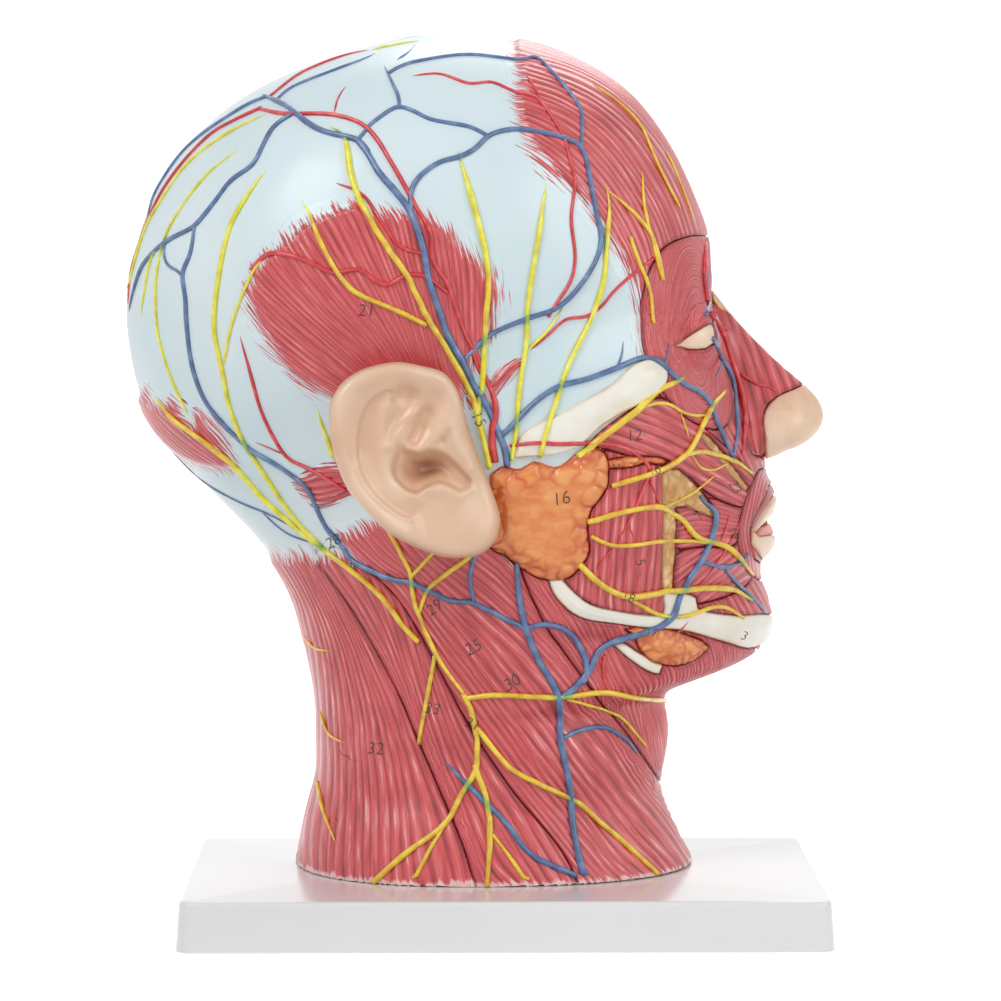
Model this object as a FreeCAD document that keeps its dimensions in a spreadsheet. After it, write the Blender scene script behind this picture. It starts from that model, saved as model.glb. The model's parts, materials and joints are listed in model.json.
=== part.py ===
import FreeCAD, Part
import math
import os

import Sketcher
from FreeCAD import Placement, Rotation, Vector

# An anatomical teaching model: the right half of a life-size head and neck, cut on
# its median plane and set upright on a white base. The outer side shows muscles,
# glands, vessels and nerves. The flat side shows the median section, whose half
# brain lifts straight out of its bowl.
# Axes: X to the face, Y to the flat median side, Z up. The origin is the centre of
# the base's underside. Lengths are millimetres and angles degrees.

# Driving sizes, kept in the document's sheet: value and meaning
SIZES = {
    "plate_length": (210, "base along X, at the floor"),
    "plate_width": (140, "base along Y, at the floor"),
    "plate_height": (16, "base from floor to top"),
    "plate_wall": (3, "base wall, top and ribs"),
    "plate_corner": (5, "base corner radius"),
    "plate_edge": (1.6, "rounding of the base's top edge"),
    "plate_draft": (4, "lean of the base's walls, in degrees"),
    "median_place": (21, "flat side's distance behind the base's middle"),
    "head_length": (197, "brow to back of head, on the median plane"),
    "model_height": (276, "base top to crown"),
    "half_breadth": (77, "median plane to the widest place over the ear"),
    "shell_wall": (4, "outer casting's wall"),
    "section_plate": (4, "median casting's flat wall"),
    "muscle_relief": (1.5, "muscles' height over the casting"),
    "bone_relief": (1.8, "bones' height over the casting"),
    "lip_relief": (1.9, "lips' height over the casting"),
    "gland_relief": (4, "glands' height over the casting"),
    "vein_size": (3.1, "veins' diameter"),
    "artery_size": (2.4, "arteries' diameter"),
    "nerve_size": (2.1, "nerves' diameter"),
    "ear_slab": (7, "auricle's thickness"),
    "ear_round": (2.3, "rounding of the auricle's rim"),
    "ear_flare": (17, "auricle's turn away from the head, in degrees"),
    "ear_stand": (73, "auricle's front edge from the median plane"),
    "concha_depth": (8, "depth of the ear's bowl"),
    "eye_size": (27, "eyeball's diameter under the lid"),
    "eye_place": (31, "eyeball's middle from the median plane"),
    "vault": (15, "scalp and skull over the brain"),
    "vault_side": (19, "casting, skull and bowl beside the brain"),
    "brain_gap": (0.6, "room round the lift-out brain half"),
    "bowl_wall": (2.6, "wall of the brain's bowl"),
    "pin_size": (6, "locating pins' diameter"),
    "pin_length": (12, "locating pins' length out of the brain"),
    "pin_root": (10, "locating pins' length inside the brain"),
    "pin_gap": (0.3, "running room round a locating pin"),
    "socket_wall": (2.5, "wall of a pin's socket"),
    "inlay_depth": (2.4, "depth of the section's inlays"),
    "inlay_rise": (0.8, "section's inlays above the flat side"),
    "skull_band": (7, "thickness of the sawn skull"),
    "fit_gap": (0.3, "room between the neck block and the casting"),
    "block_height": (30, "neck block inside the casting"),
    "screw_size": (4, "screws' diameter"),
    "screw_grip": (20, "screws' length over the washer"),
    "screw_cap": (8, "screw heads' diameter"),
    "screw_cap_height": (2.6, "screw heads' height"),
    "screw_spread": (36, "outer screws from the middle along X"),
    "screw_row": (9, "outer screws from the middle along Y"),
    "screw_front": (20, "third screw from the middle, away from the flat side"),
    "screw_aside": (12, "third screw from the middle along X"),
    "screw_room": (0.2, "room round a screw in its holes"),
    "washer_size": (11, "washers' diameter"),
    "washer_thick": (1, "washers' thickness"),
    "boss_size": (13, "screw bosses' diameter"),
    "boss_depth": (7, "screw bosses' depth under the base's top"),
}

doc = FreeCAD.newDocument("anatomical_head_model")
sheet = doc.addObject("Spreadsheet::Sheet", "Sizes")
for row, (alias, (value, meaning)) in enumerate(SIZES.items(), start=1):
    sheet.set(f"A{row}", meaning)
    sheet.set(f"B{row}", str(value))
    sheet.setAlias(f"B{row}", alias)
doc.recompute()


def size(alias):
    """A driving size, read from the sheet."""
    return float(sheet.get(alias))


nodes = {}


def keep(name, item):
    """Name a sub-part after its node."""
    item.Label = name
    nodes[name] = item
    return item


def keep_shape(name, shape):
    """Make a sub-part from a finished shape."""
    item = doc.addObject("Part::Feature", name)
    item.Shape = shape
    item.Placement = Placement(Vector(), Rotation())
    return keep(name, item)


# Places read off the photograph, in its pixels
MIDDLE_PX = 501.6
NECK_FOOT_PX = 862.0
CROWN_PX = 38.0
HEAD_LENGTH_PX = 588.0
HEAD_MIDDLE_PX = 462.0
EYE_LEVEL_PX = (451.0, 193.0)
VIEW_DISTANCE_PX = 4304.0
HEAD_TILT = math.radians(15)

scale_x = size("head_length") / HEAD_LENGTH_PX
scale_z = size("model_height") / (NECK_FOOT_PX - CROWN_PX)
median = size("median_place")
plate_top = size("plate_height")


def place(px, depth_px=0.0):
    """X and Z of a pixel, for a point that lies depth_px in front of the median plane."""
    nearness = 1 - depth_px / VIEW_DISTANCE_PX
    across = EYE_LEVEL_PX[0] + (px[0] - EYE_LEVEL_PX[0]) * nearness
    down = EYE_LEVEL_PX[1] + (px[1] - EYE_LEVEL_PX[1]) * nearness
    return (across - MIDDLE_PX) * scale_x, plate_top + (NECK_FOOT_PX - down) * scale_z


# The head's skin: one smooth surface through slanted half sections, from the foot
# of the neck to the crown. Each section runs from a front pixel to a back pixel on
# the profile; then come its half breadth and its widest place from the back, as
# shares, and the roundness of its front and back
HEAD_SECTION_SHARES = [
    ((690, 862), (297, 862), 0.78, 0.45, 2.3, 2.3),
    ((668, 818), (303, 826), 0.74, 0.45, 2.3, 2.3),
    ((657, 788), (311, 796), 0.70, 0.46, 2.2, 2.2),
    ((661, 760), (317, 772), 0.69, 0.47, 2.2, 2.2),
    ((667, 718), (318, 748), 0.69, 0.48, 2.1, 2.2),
    ((663, 684), (318, 732), 0.70, 0.48, 2.0, 2.2),
    ((742, 657), (318, 722), 0.72, 0.45, 1.9, 2.2),
    ((770, 628), (318, 710), 0.74, 0.44, 1.8, 2.2),
    ((764, 596), (316, 690), 0.76, 0.45, 1.9, 2.2),
    ((757, 568), (312, 668), 0.78, 0.46, 1.9, 2.2),
    ((775, 540), (306, 645), 0.79, 0.47, 1.9, 2.2),
    ((765, 522), (302, 628), 0.80, 0.47, 2.0, 2.2),
    ((775, 500), (297, 610), 0.82, 0.47, 1.9, 2.2),
    ((765, 470), (287, 585), 0.84, 0.48, 2.0, 2.2),
    ((748, 420), (262, 543), 0.88, 0.48, 2.2, 2.2),
    ((728, 360), (215, 494), 0.92, 0.48, 2.4, 2.2),
    ((712, 300), (167, 445), 0.94, 0.47, 2.5, 2.1),
    ((709, 272), (150, 420), 0.955, 0.46, 2.5, 2.1),
    ((703, 232), (137, 385), 0.975, 0.45, 2.4, 2.1),
    ((691, 200), (130, 350), 0.99, 0.44, 2.3, 2.1),
    ((676, 165), (126, 310), 1.00, 0.43, 2.2, 2.1),
    ((655, 130), (132, 270), 0.98, 0.43, 2.2, 2.1),
    ((628, 97), (146, 215), 0.915, 0.43, 2.1, 2.1),
    ((590, 70), (175, 162), 0.805, 0.43, 2.1, 2.1),
    ((545, 50), (225, 110), 0.65, 0.43, 2.1, 2.1),
    ((500, 40), (285, 76), 0.47, 0.43, 2.0, 2.0),
    ((450, 38), (340, 55), 0.26, 0.43, 2.0, 2.0),
]
CROWN_POLE_PX = (410, 36.5)

# Swellings and hollows of the skin: middle, reach in pixels, height as a share of
# the half breadth. They fade out towards the median plane
SWELL_SHARES = [
    ((694, 338), 30, -0.085),
    ((640, 402), 38, 0.045),
    ((590, 330), 50, -0.030),
    ((618, 520), 46, 0.035),
    ((706, 515), 36, -0.035),
    ((700, 268), 26, 0.030),
    ((470, 600), 40, 0.030),
    ((545, 745), 46, 0.045),
    ((420, 745), 26, -0.030),
    ((350, 700), 50, 0.030),
    ((600, 640), 34, -0.055),
    ((300, 240), 90, 0.015),
]
FADE_STEEPNESS = 2
SECTION_STEPS = 18


def swell(point):
    """The height of the skin's swellings at a point, outwards."""
    height = 0.0
    for middle_px, reach, share in SWELL_SHARES:
        x, z = place(middle_px)
        away = math.hypot((point.x - x) / scale_x, (point.z - z) / scale_z) / reach
        height += share * size("half_breadth") * math.exp(-away * away)
    return height


def half_section(row, growth, swollen):
    """Points of one half section, from front to back."""
    (front_x, front_z), (back_x, back_z) = place(row[0]), place(row[1])
    length = math.hypot(front_x - back_x, front_z - back_z)
    along = Vector((front_x - back_x) / length, 0, (front_z - back_z) / length)
    breadth, widest = row[2] * size("half_breadth"), row[3] * length
    points = []
    for step in range(SECTION_STEPS + 1):
        turn = math.pi * step / SECTION_STEPS
        ahead, aside = math.cos(turn), math.sin(turn)
        front = ahead > 0
        power = 2 / (row[4] if front else row[5])
        reach = (length - widest if front else widest) + growth
        run = widest + math.copysign(reach * abs(ahead) ** power, ahead)
        out = (breadth + growth) * abs(aside) ** power
        point = Vector(back_x, median - out, back_z) + along * run
        if step in (0, SECTION_STEPS):
            point.y = median
        elif swollen:
            outward = along * ahead + Vector(0, -aside, 0)
            rise = swell(point) * min(1.0, aside * FADE_STEEPNESS)
            point += outward * rise
            point.y = min(point.y, median)
        points.append(point)
    return points


def eased(line):
    """Poles that bring a smooth curve through a line of points."""
    sixth = 1 / 6
    inner = [b - (a - b * 2 + c) * sixth for a, b, c in zip(line, line[1:], line[2:])]
    return [line[0]] + inner + [line[-1]]


def skin(rows):
    """A smooth surface through rows of points."""
    columns = [eased(column) for column in zip(*rows)]
    poles = [eased(row) for row in zip(*columns)]
    degree = 3

    def knots(count):
        spans = count - degree
        return list(range(spans + 1)), [degree + 1] + [1] * (spans - 1) + [degree + 1]

    across, across_times = knots(len(poles))
    along, along_times = knots(len(poles[0]))
    surface = Part.BSplineSurface()
    surface.buildFromPolesMultsKnots(
        poles, across_times, along_times, across, along, False, False, degree, degree
    )
    return surface


def flat_face(edges):
    """A flat face inside a ring of edges."""
    return Part.Face(Part.Wire(Part.__sortEdges__(edges)))


def half_solid(surface, pole):
    """Close a skin that is open at the median plane: flat there and at its ends."""
    first, last, start, end = surface.bounds()
    front = surface.vIso(start).toShape()
    back = surface.vIso(end).toShape()
    foot = surface.uIso(first).toShape()
    foot_line = Part.makeLine(surface.value(first, start), surface.value(first, end))
    faces = [Part.Face(surface), flat_face([foot, foot_line])]
    if pole:
        faces.append(flat_face([front, back, foot_line]))
    else:
        head = surface.uIso(last).toShape()
        head_line = Part.makeLine(surface.value(last, start), surface.value(last, end))
        faces.append(flat_face([head, head_line]))
        faces.append(flat_face([front, back, foot_line, head_line]))
    shell = Part.Shell(faces)
    shell.sewShape()
    solid = Part.Solid(shell)
    if solid.Volume < 0:
        solid.reverse()
    return solid


def head_skin(growth):
    """The head's skin, grown outwards, or inwards where growth is negative."""
    rows = [half_section(row, growth, True) for row in HEAD_SECTION_SHARES]
    x, z = place(CROWN_POLE_PX)
    rows.append([Vector(x, median, z + growth)] * (SECTION_STEPS + 1))
    return skin(rows)


def head_solid(growth):
    """The half head as a solid, grown or shrunk."""
    return half_solid(head_skin(growth), True)


head_surface = head_skin(0.0)
core = head_solid(0.0)
muscle_layer = head_solid(size("muscle_relief"))
bone_layer = head_solid(size("bone_relief"))
lip_layer = head_solid(size("lip_relief"))
gland_layer = head_solid(size("gland_relief"))
hollow = head_solid(-size("shell_wall"))

# A net of skin points, from which the search for a point on the skin starts
SEARCH_STEPS = 24
search_net = []
u_first, u_last, v_first, v_last = head_surface.bounds()
for across_step in range(1, SEARCH_STEPS):
    for along_step in range(1, SEARCH_STEPS):
        u = u_first + (u_last - u_first) * across_step / SEARCH_STEPS
        v = v_first + (v_last - v_first) * along_step / SEARCH_STEPS
        search_net.append((u, v, head_surface.value(u, v)))
CLOSE_ENOUGH = 0.02 * scale_x
EDGE_ON = 1e-9
SKIN_TRIES = 12
SIGHT_TRIES = 5
FIRST_DEPTH_SHARE = 0.8


def skin_at(x, z):
    """The skin's point at X and Z and its outward direction, or None beside the head."""
    u, v, start = min(search_net, key=lambda s: (s[2].x - x) ** 2 + (s[2].z - z) ** 2)
    for attempt in range(SKIN_TRIES):
        point = head_surface.value(u, v)
        miss_x, miss_z = x - point.x, z - point.z
        if math.hypot(miss_x, miss_z) < CLOSE_ENOUGH:
            outward = head_surface.normal(u, v)
            return point, outward if outward.y < 0 else outward * -1
        du, dv = head_surface.getDN(u, v, 1, 0), head_surface.getDN(u, v, 0, 1)
        area = du.x * dv.z - du.z * dv.x
        if abs(area) < EDGE_ON:
            return None
        u += (miss_x * dv.z - miss_z * dv.x) / area
        v += (du.x * miss_z - du.z * miss_x) / area
        u = min(max(u, u_first), u_last)
        v = min(max(v, v_first), v_last)
    return None


def on_skin(px):
    """Where the sight line of a pixel meets the skin, and the outward direction."""
    depth = size("half_breadth") * FIRST_DEPTH_SHARE
    found = None
    for attempt in range(SIGHT_TRIES):
        x, z = place(px, depth / scale_x)
        found = skin_at(x, z) or found
        if found is None:
            return None
        depth = median - found[0].y
    return found


def outline_face(outline_px):
    """The flat face inside an outline of pixels, laid along the head's skin."""
    points = []
    for px in outline_px:
        found = on_skin(px)
        x, z = (found[0].x, found[0].z) if found else place(px)
        points.append(Vector(x, median, z))
    ring = Part.BSplineCurve()
    ring.interpolate(points, PeriodicFlag=True)
    return Part.Face(Part.Wire(ring.toShape()))


def seated(face, layer):
    """The part of a layer over an outline, seated on the skin."""
    prism = face.extrude(Vector(0, -2 * size("half_breadth"), 0))
    return prism.common(layer).cut(core)


# A cut's crumbs are smaller than this share of its largest solid
CRUMB_SHARE = 0.02


def solids_of(shape):
    """The shape's solids, as one compound when there are several."""
    solids = sorted(shape.Solids, key=lambda solid: -solid.Volume)
    whole = [solid for solid in solids if solid.Volume > CRUMB_SHARE * solids[0].Volume]
    return whole[0] if len(whole) == 1 else Part.makeCompound(whole)


# Outlines of what shows on the outer side, in pixels of the photograph. Each later
# outline gives way to the earlier ones, so it may pass under them
EAR_PX = [
    (332, 420), (345, 385), (370, 366), (400, 360), (430, 364), (455, 378), (465, 400),
    (472, 430), (485, 460), (497, 500), (497, 528), (480, 550), (452, 557), (420, 549),
    (385, 526), (355, 500), (338, 470), (330, 444),
]
OUTER_PIECES = [
    ("zygomatic_arch", bone_layer, [[
        (512, 456), (526, 430), (560, 414), (598, 392), (630, 368), (650, 362),
        (662, 384), (636, 404), (600, 432), (575, 451), (542, 459),
    ]]),
    ("parotid_gland", gland_layer, [[
        (494, 474), (520, 466), (560, 464), (592, 447), (605, 458), (605, 490),
        (590, 512), (588, 550), (570, 577), (535, 577), (502, 553), (492, 520),
    ]]),
    ("mandible", bone_layer, [[
        (550, 580), (562, 580), (590, 604), (640, 616), (664, 610), (664, 594),
        (690, 596), (698, 610), (760, 617), (800, 612), (800, 650), (745, 648),
        (690, 632), (640, 627), (585, 619), (556, 598),
    ]]),
    ("submandibular_gland", gland_layer, [[
        (620, 632), (650, 630), (680, 634), (702, 643), (694, 658), (664, 664),
        (640, 654),
    ]]),
    ("hyoid_bone", bone_layer, [[
        (612, 646), (622, 646), (640, 660), (662, 668), (664, 676), (642, 672),
        (620, 658),
    ]]),
    ("lips", lip_layer, [[
        (750, 546), (752, 526), (765, 508), (776, 490), (805, 488), (810, 545),
        (790, 562), (760, 560),
    ]]),
    ("buccal_fat", muscle_layer, [[
        (660, 472), (676, 466), (699, 490), (697, 506), (678, 512), (673, 589),
        (660, 589), (663, 540), (664, 508),
    ]]),
    ("orbicularis_oculi", muscle_layer, [[
        (640, 300), (664, 272), (700, 262), (760, 262), (765, 300), (730, 330),
        (722, 374), (700, 394), (664, 388), (645, 350),
    ]]),
    ("frontalis", muscle_layer, [[
        (512, 55), (518, 90), (520, 128), (545, 170), (590, 213), (614, 250),
        (634, 290), (642, 330), (700, 330), (760, 280), (760, 160), (680, 70),
        (590, 20), (520, 20),
    ]]),
    ("masseter", muscle_layer, [[
        (590, 470), (600, 436), (630, 420), (664, 440), (672, 500), (670, 560),
        (660, 605), (610, 600), (560, 575), (560, 520),
    ]]),
    ("face_muscles", muscle_layer, [[
        (636, 430), (640, 398), (700, 370), (740, 300), (850, 330), (860, 480),
        (830, 560), (830, 640), (740, 640), (650, 620), (600, 600), (640, 500),
    ]]),
    ("temporalis", muscle_layer, [[
        (310, 388), (285, 368), (262, 335), (249, 299), (256, 268), (287, 240),
        (304, 222), (357, 206), (403, 213), (440, 226), (472, 256), (497, 285),
        (492, 330), (478, 352), (470, 420), (400, 420), (340, 420),
    ]]),
    ("occipitalis", muscle_layer, [[
        (146, 388), (160, 402), (180, 402), (196, 411), (216, 420), (237, 466),
        (210, 470), (180, 458), (150, 430), (130, 400),
    ]]),
    ("auricular_muscles", muscle_layer, [
        [(291, 482), (328, 462), (350, 462), (360, 492), (320, 509), (298, 500)],
        [(488, 390), (496, 370), (521, 358), (519, 373), (504, 386), (492, 398)],
    ]),
    ("sternocleidomastoid", muscle_layer, [[
        (392, 572), (430, 540), (480, 545), (520, 610), (570, 690), (625, 770),
        (680, 838), (720, 880), (700, 960), (560, 960), (520, 850), (470, 750),
        (425, 660),
    ]]),
    ("trapezius", muscle_layer, [[
        (230, 520), (262, 545), (300, 555), (330, 562), (360, 625), (392, 690),
        (416, 750), (440, 830), (460, 960), (240, 960), (240, 760), (230, 620),
    ]]),
    ("splenius", muscle_layer, [[
        (300, 560), (341, 533), (390, 524), (430, 520), (470, 600), (560, 780),
        (600, 960), (400, 960), (380, 780), (330, 640),
    ]]),
    ("throat_muscles", muscle_layer, [[
        (490, 560), (560, 560), (620, 600), (700, 620), (790, 640), (780, 690),
        (720, 720), (720, 960), (640, 960), (560, 780),
    ]]),
]

# The outer casting: a thin-walled half head, open at the flat side and at its foot
WIDE = 4 * size("head_length")
behind_plate = Part.makeBox(
    WIDE, WIDE, WIDE, Vector(-WIDE / 2, median - size("section_plate"), -WIDE / 2)
)
keep_shape("head_shell", core.cut(hollow).cut(behind_plate))

# The nose stands on the face: half sections from its base to its root, with half
# breadths as shares of the model's half breadth
NOSE_SECTION_SHARES = [
    ((782, 449), (722, 462), 0.17, 0.40, 2.0, 2.0),
    ((812, 433), (716, 446), 0.215, 0.36, 2.0, 2.0),
    ((822, 412), (712, 428), 0.215, 0.36, 2.0, 2.0),
    ((808, 390), (708, 408), 0.18, 0.36, 2.0, 2.0),
    ((783, 368), (702, 388), 0.145, 0.38, 2.0, 2.0),
    ((754, 340), (696, 358), 0.12, 0.40, 2.0, 2.0),
    ((729, 313), (690, 330), 0.105, 0.42, 2.0, 2.0),
    ((710, 288), (684, 302), 0.09, 0.44, 2.0, 2.0),
]
NOSE_TIP_PX = [
    (762, 470), (764, 440), (764, 419), (766, 409), (790, 395), (808, 384), (850, 360),
    (860, 420), (840, 470), (800, 490),
]
nose_rows = [half_section(row, 0.0, False) for row in NOSE_SECTION_SHARES]
whole_nose = half_solid(skin(nose_rows), False).cut(core)
tip_points = [Vector(x, median, z) for x, z in map(place, NOSE_TIP_PX)]
tip_ring = Part.makePolygon(tip_points + tip_points[:1])
tip_prism = Part.Face(tip_ring).extrude(Vector(0, -size("half_breadth"), 0))
keep_shape("nose_tip", solids_of(whole_nose.common(tip_prism)))
keep_shape("nasal_muscle", solids_of(whole_nose.cut(tip_prism)))

# The closed eye: the lid over the eyeball, seated in the socket
EYEBALL_PX = (672, 338)
eye_x, eye_z = place(EYEBALL_PX)
eyeball = Part.makeSphere(
    size("eye_size") / 2, Vector(eye_x, median - size("eye_place"), eye_z)
)
eyelid = solids_of(eyeball.cut(core))
keep_shape("eyelid", eyelid)

# The auricle: a rounded slab that turns away from the head, on a root that meets
# the skin, with its bowl, its groove inside the rim and its tragus
EAR_FRONT_PX = (499, 460)
CONCHA_PX = (444, 470)
CONCHA_SHARES = (0.052, 0.075)
SCAPHA_PX = [(440, 382), (408, 376), (376, 386), (356, 412), (352, 445), (364, 478)]
TRAGUS_PX = (470, 462)
TRAGUS_SHARE = 0.024
ROOT_SHARE = 1 / 3
ARC_SHARE = 0.45


def bent_wire(points):
    """Straight runs joined by tangent arcs, as large as the runs allow."""
    edges = []
    leave = points[0]
    for before, corner, after in zip(points, points[1:], points[2:]):
        back, ahead = (before - corner), (after - corner)
        shorter = min(back.Length, ahead.Length)
        back.normalize()
        ahead.normalize()
        turn = math.pi - back.getAngle(ahead)
        trim = ARC_SHARE * shorter
        radius = trim / math.tan(turn / 2)
        arrive, depart = corner + back * trim, corner + ahead * trim
        inward = (back + ahead).normalize()
        middle = corner + inward * (math.hypot(radius, trim) - radius)
        edges.append(Part.LineSegment(leave, arrive).toShape())
        edges.append(Part.Arc(arrive, middle, depart).toShape())
        leave = depart
    edges.append(Part.LineSegment(leave, points[-1]).toShape())
    return Part.Wire(edges)


def tube(points, diameter):
    """A round tube along a bent wire."""
    path = bent_wire(points)
    ring = Part.makeCircle(diameter / 2, points[0], points[1] - points[0])
    return path.makePipeShell([Part.Wire(ring)], True, False)


def ellipsoid(middle, half_x, half_y, half_z):
    """A ball stretched along the axes."""
    ball = Part.makeSphere(half_z)
    stretch = FreeCAD.Matrix()
    stretch.scale(Vector(half_x / half_z, half_y / half_z, 1))
    stretched = ball.transformGeometry(stretch)
    stretched.translate(middle)
    return stretched


def ear_place(px, lift):
    """A point of the auricle's outer face, raised by lift."""
    depth = size("ear_stand") + size("ear_slab")
    x, z = place(px, depth / scale_x)
    front_x = place(EAR_FRONT_PX, depth / scale_x)[0]
    lean = math.tan(math.radians(size("ear_flare"))) * (front_x - x)
    return Vector(x, median - size("ear_stand") - size("ear_slab") - lean - lift, z)


ear_ring = Part.BSplineCurve()
ear_ring.interpolate([ear_place(px, 0.0) for px in EAR_PX], PeriodicFlag=True)
ear_outline = Part.Face(Part.Wire(ear_ring.toShape()))
lean_angle = math.radians(size("ear_flare"))
ear_inward = Vector(-math.sin(lean_angle), math.cos(lean_angle), 0)
auricle = ear_outline.extrude(ear_inward * size("ear_slab"))
rims = [edge for edge in auricle.Edges if len(edge.Vertexes) == 1 and edge.Closed]
auricle = auricle.makeFillet(size("ear_round"), rims)
concha_x = CONCHA_SHARES[0] * size("head_length")
concha_z = CONCHA_SHARES[1] * size("head_length")
concha_middle = ear_place(CONCHA_PX, 0.0)
half_slab = size("ear_slab") / 2
root_ring = Part.Ellipse(Vector(), concha_z + half_slab, concha_x + half_slab)
root = Part.Face(Part.Wire(root_ring.toShape()))
root.rotate(Vector(), Vector(0, 1, 0), 90)
root.rotate(Vector(), Vector(0, 0, 1), 90)
root.translate(concha_middle + Vector(0, half_slab, 0))
root = root.extrude(Vector(0, size("ear_stand") * ROOT_SHARE, 0))
tragus_reach = TRAGUS_SHARE * size("head_length")
tragus = Part.makeSphere(tragus_reach, ear_place(TRAGUS_PX, -tragus_reach / 2))
bowl = ellipsoid(concha_middle, concha_x, size("concha_depth"), concha_z)
scapha = tube([ear_place(px, 0.0) for px in SCAPHA_PX], half_slab)
auricle = auricle.fuse([root, tragus]).cut(core).cut([bowl, scapha])
keep_shape("ear", solids_of(auricle))

# Muscles, bones and glands: each is seated on the skin and gives way to the ear,
# the nose, the eyelid and the pieces before it
ear_foot = outline_face(EAR_PX)
taken = [ear_foot]
for name, layer, outlines in OUTER_PIECES:
    faces = []
    for outline_px in outlines:
        whole_face = outline_face(outline_px)
        face = whole_face.cut(taken)
        faces += face.Faces
        taken.append(whole_face)
    piece = Part.makeCompound([seated(face, layer) for face in faces])
    for other in (whole_nose, eyelid, auricle):
        if piece.BoundBox.intersect(other.BoundBox):
            piece = piece.cut(other)
    keep_shape(name, solids_of(piece))


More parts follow.
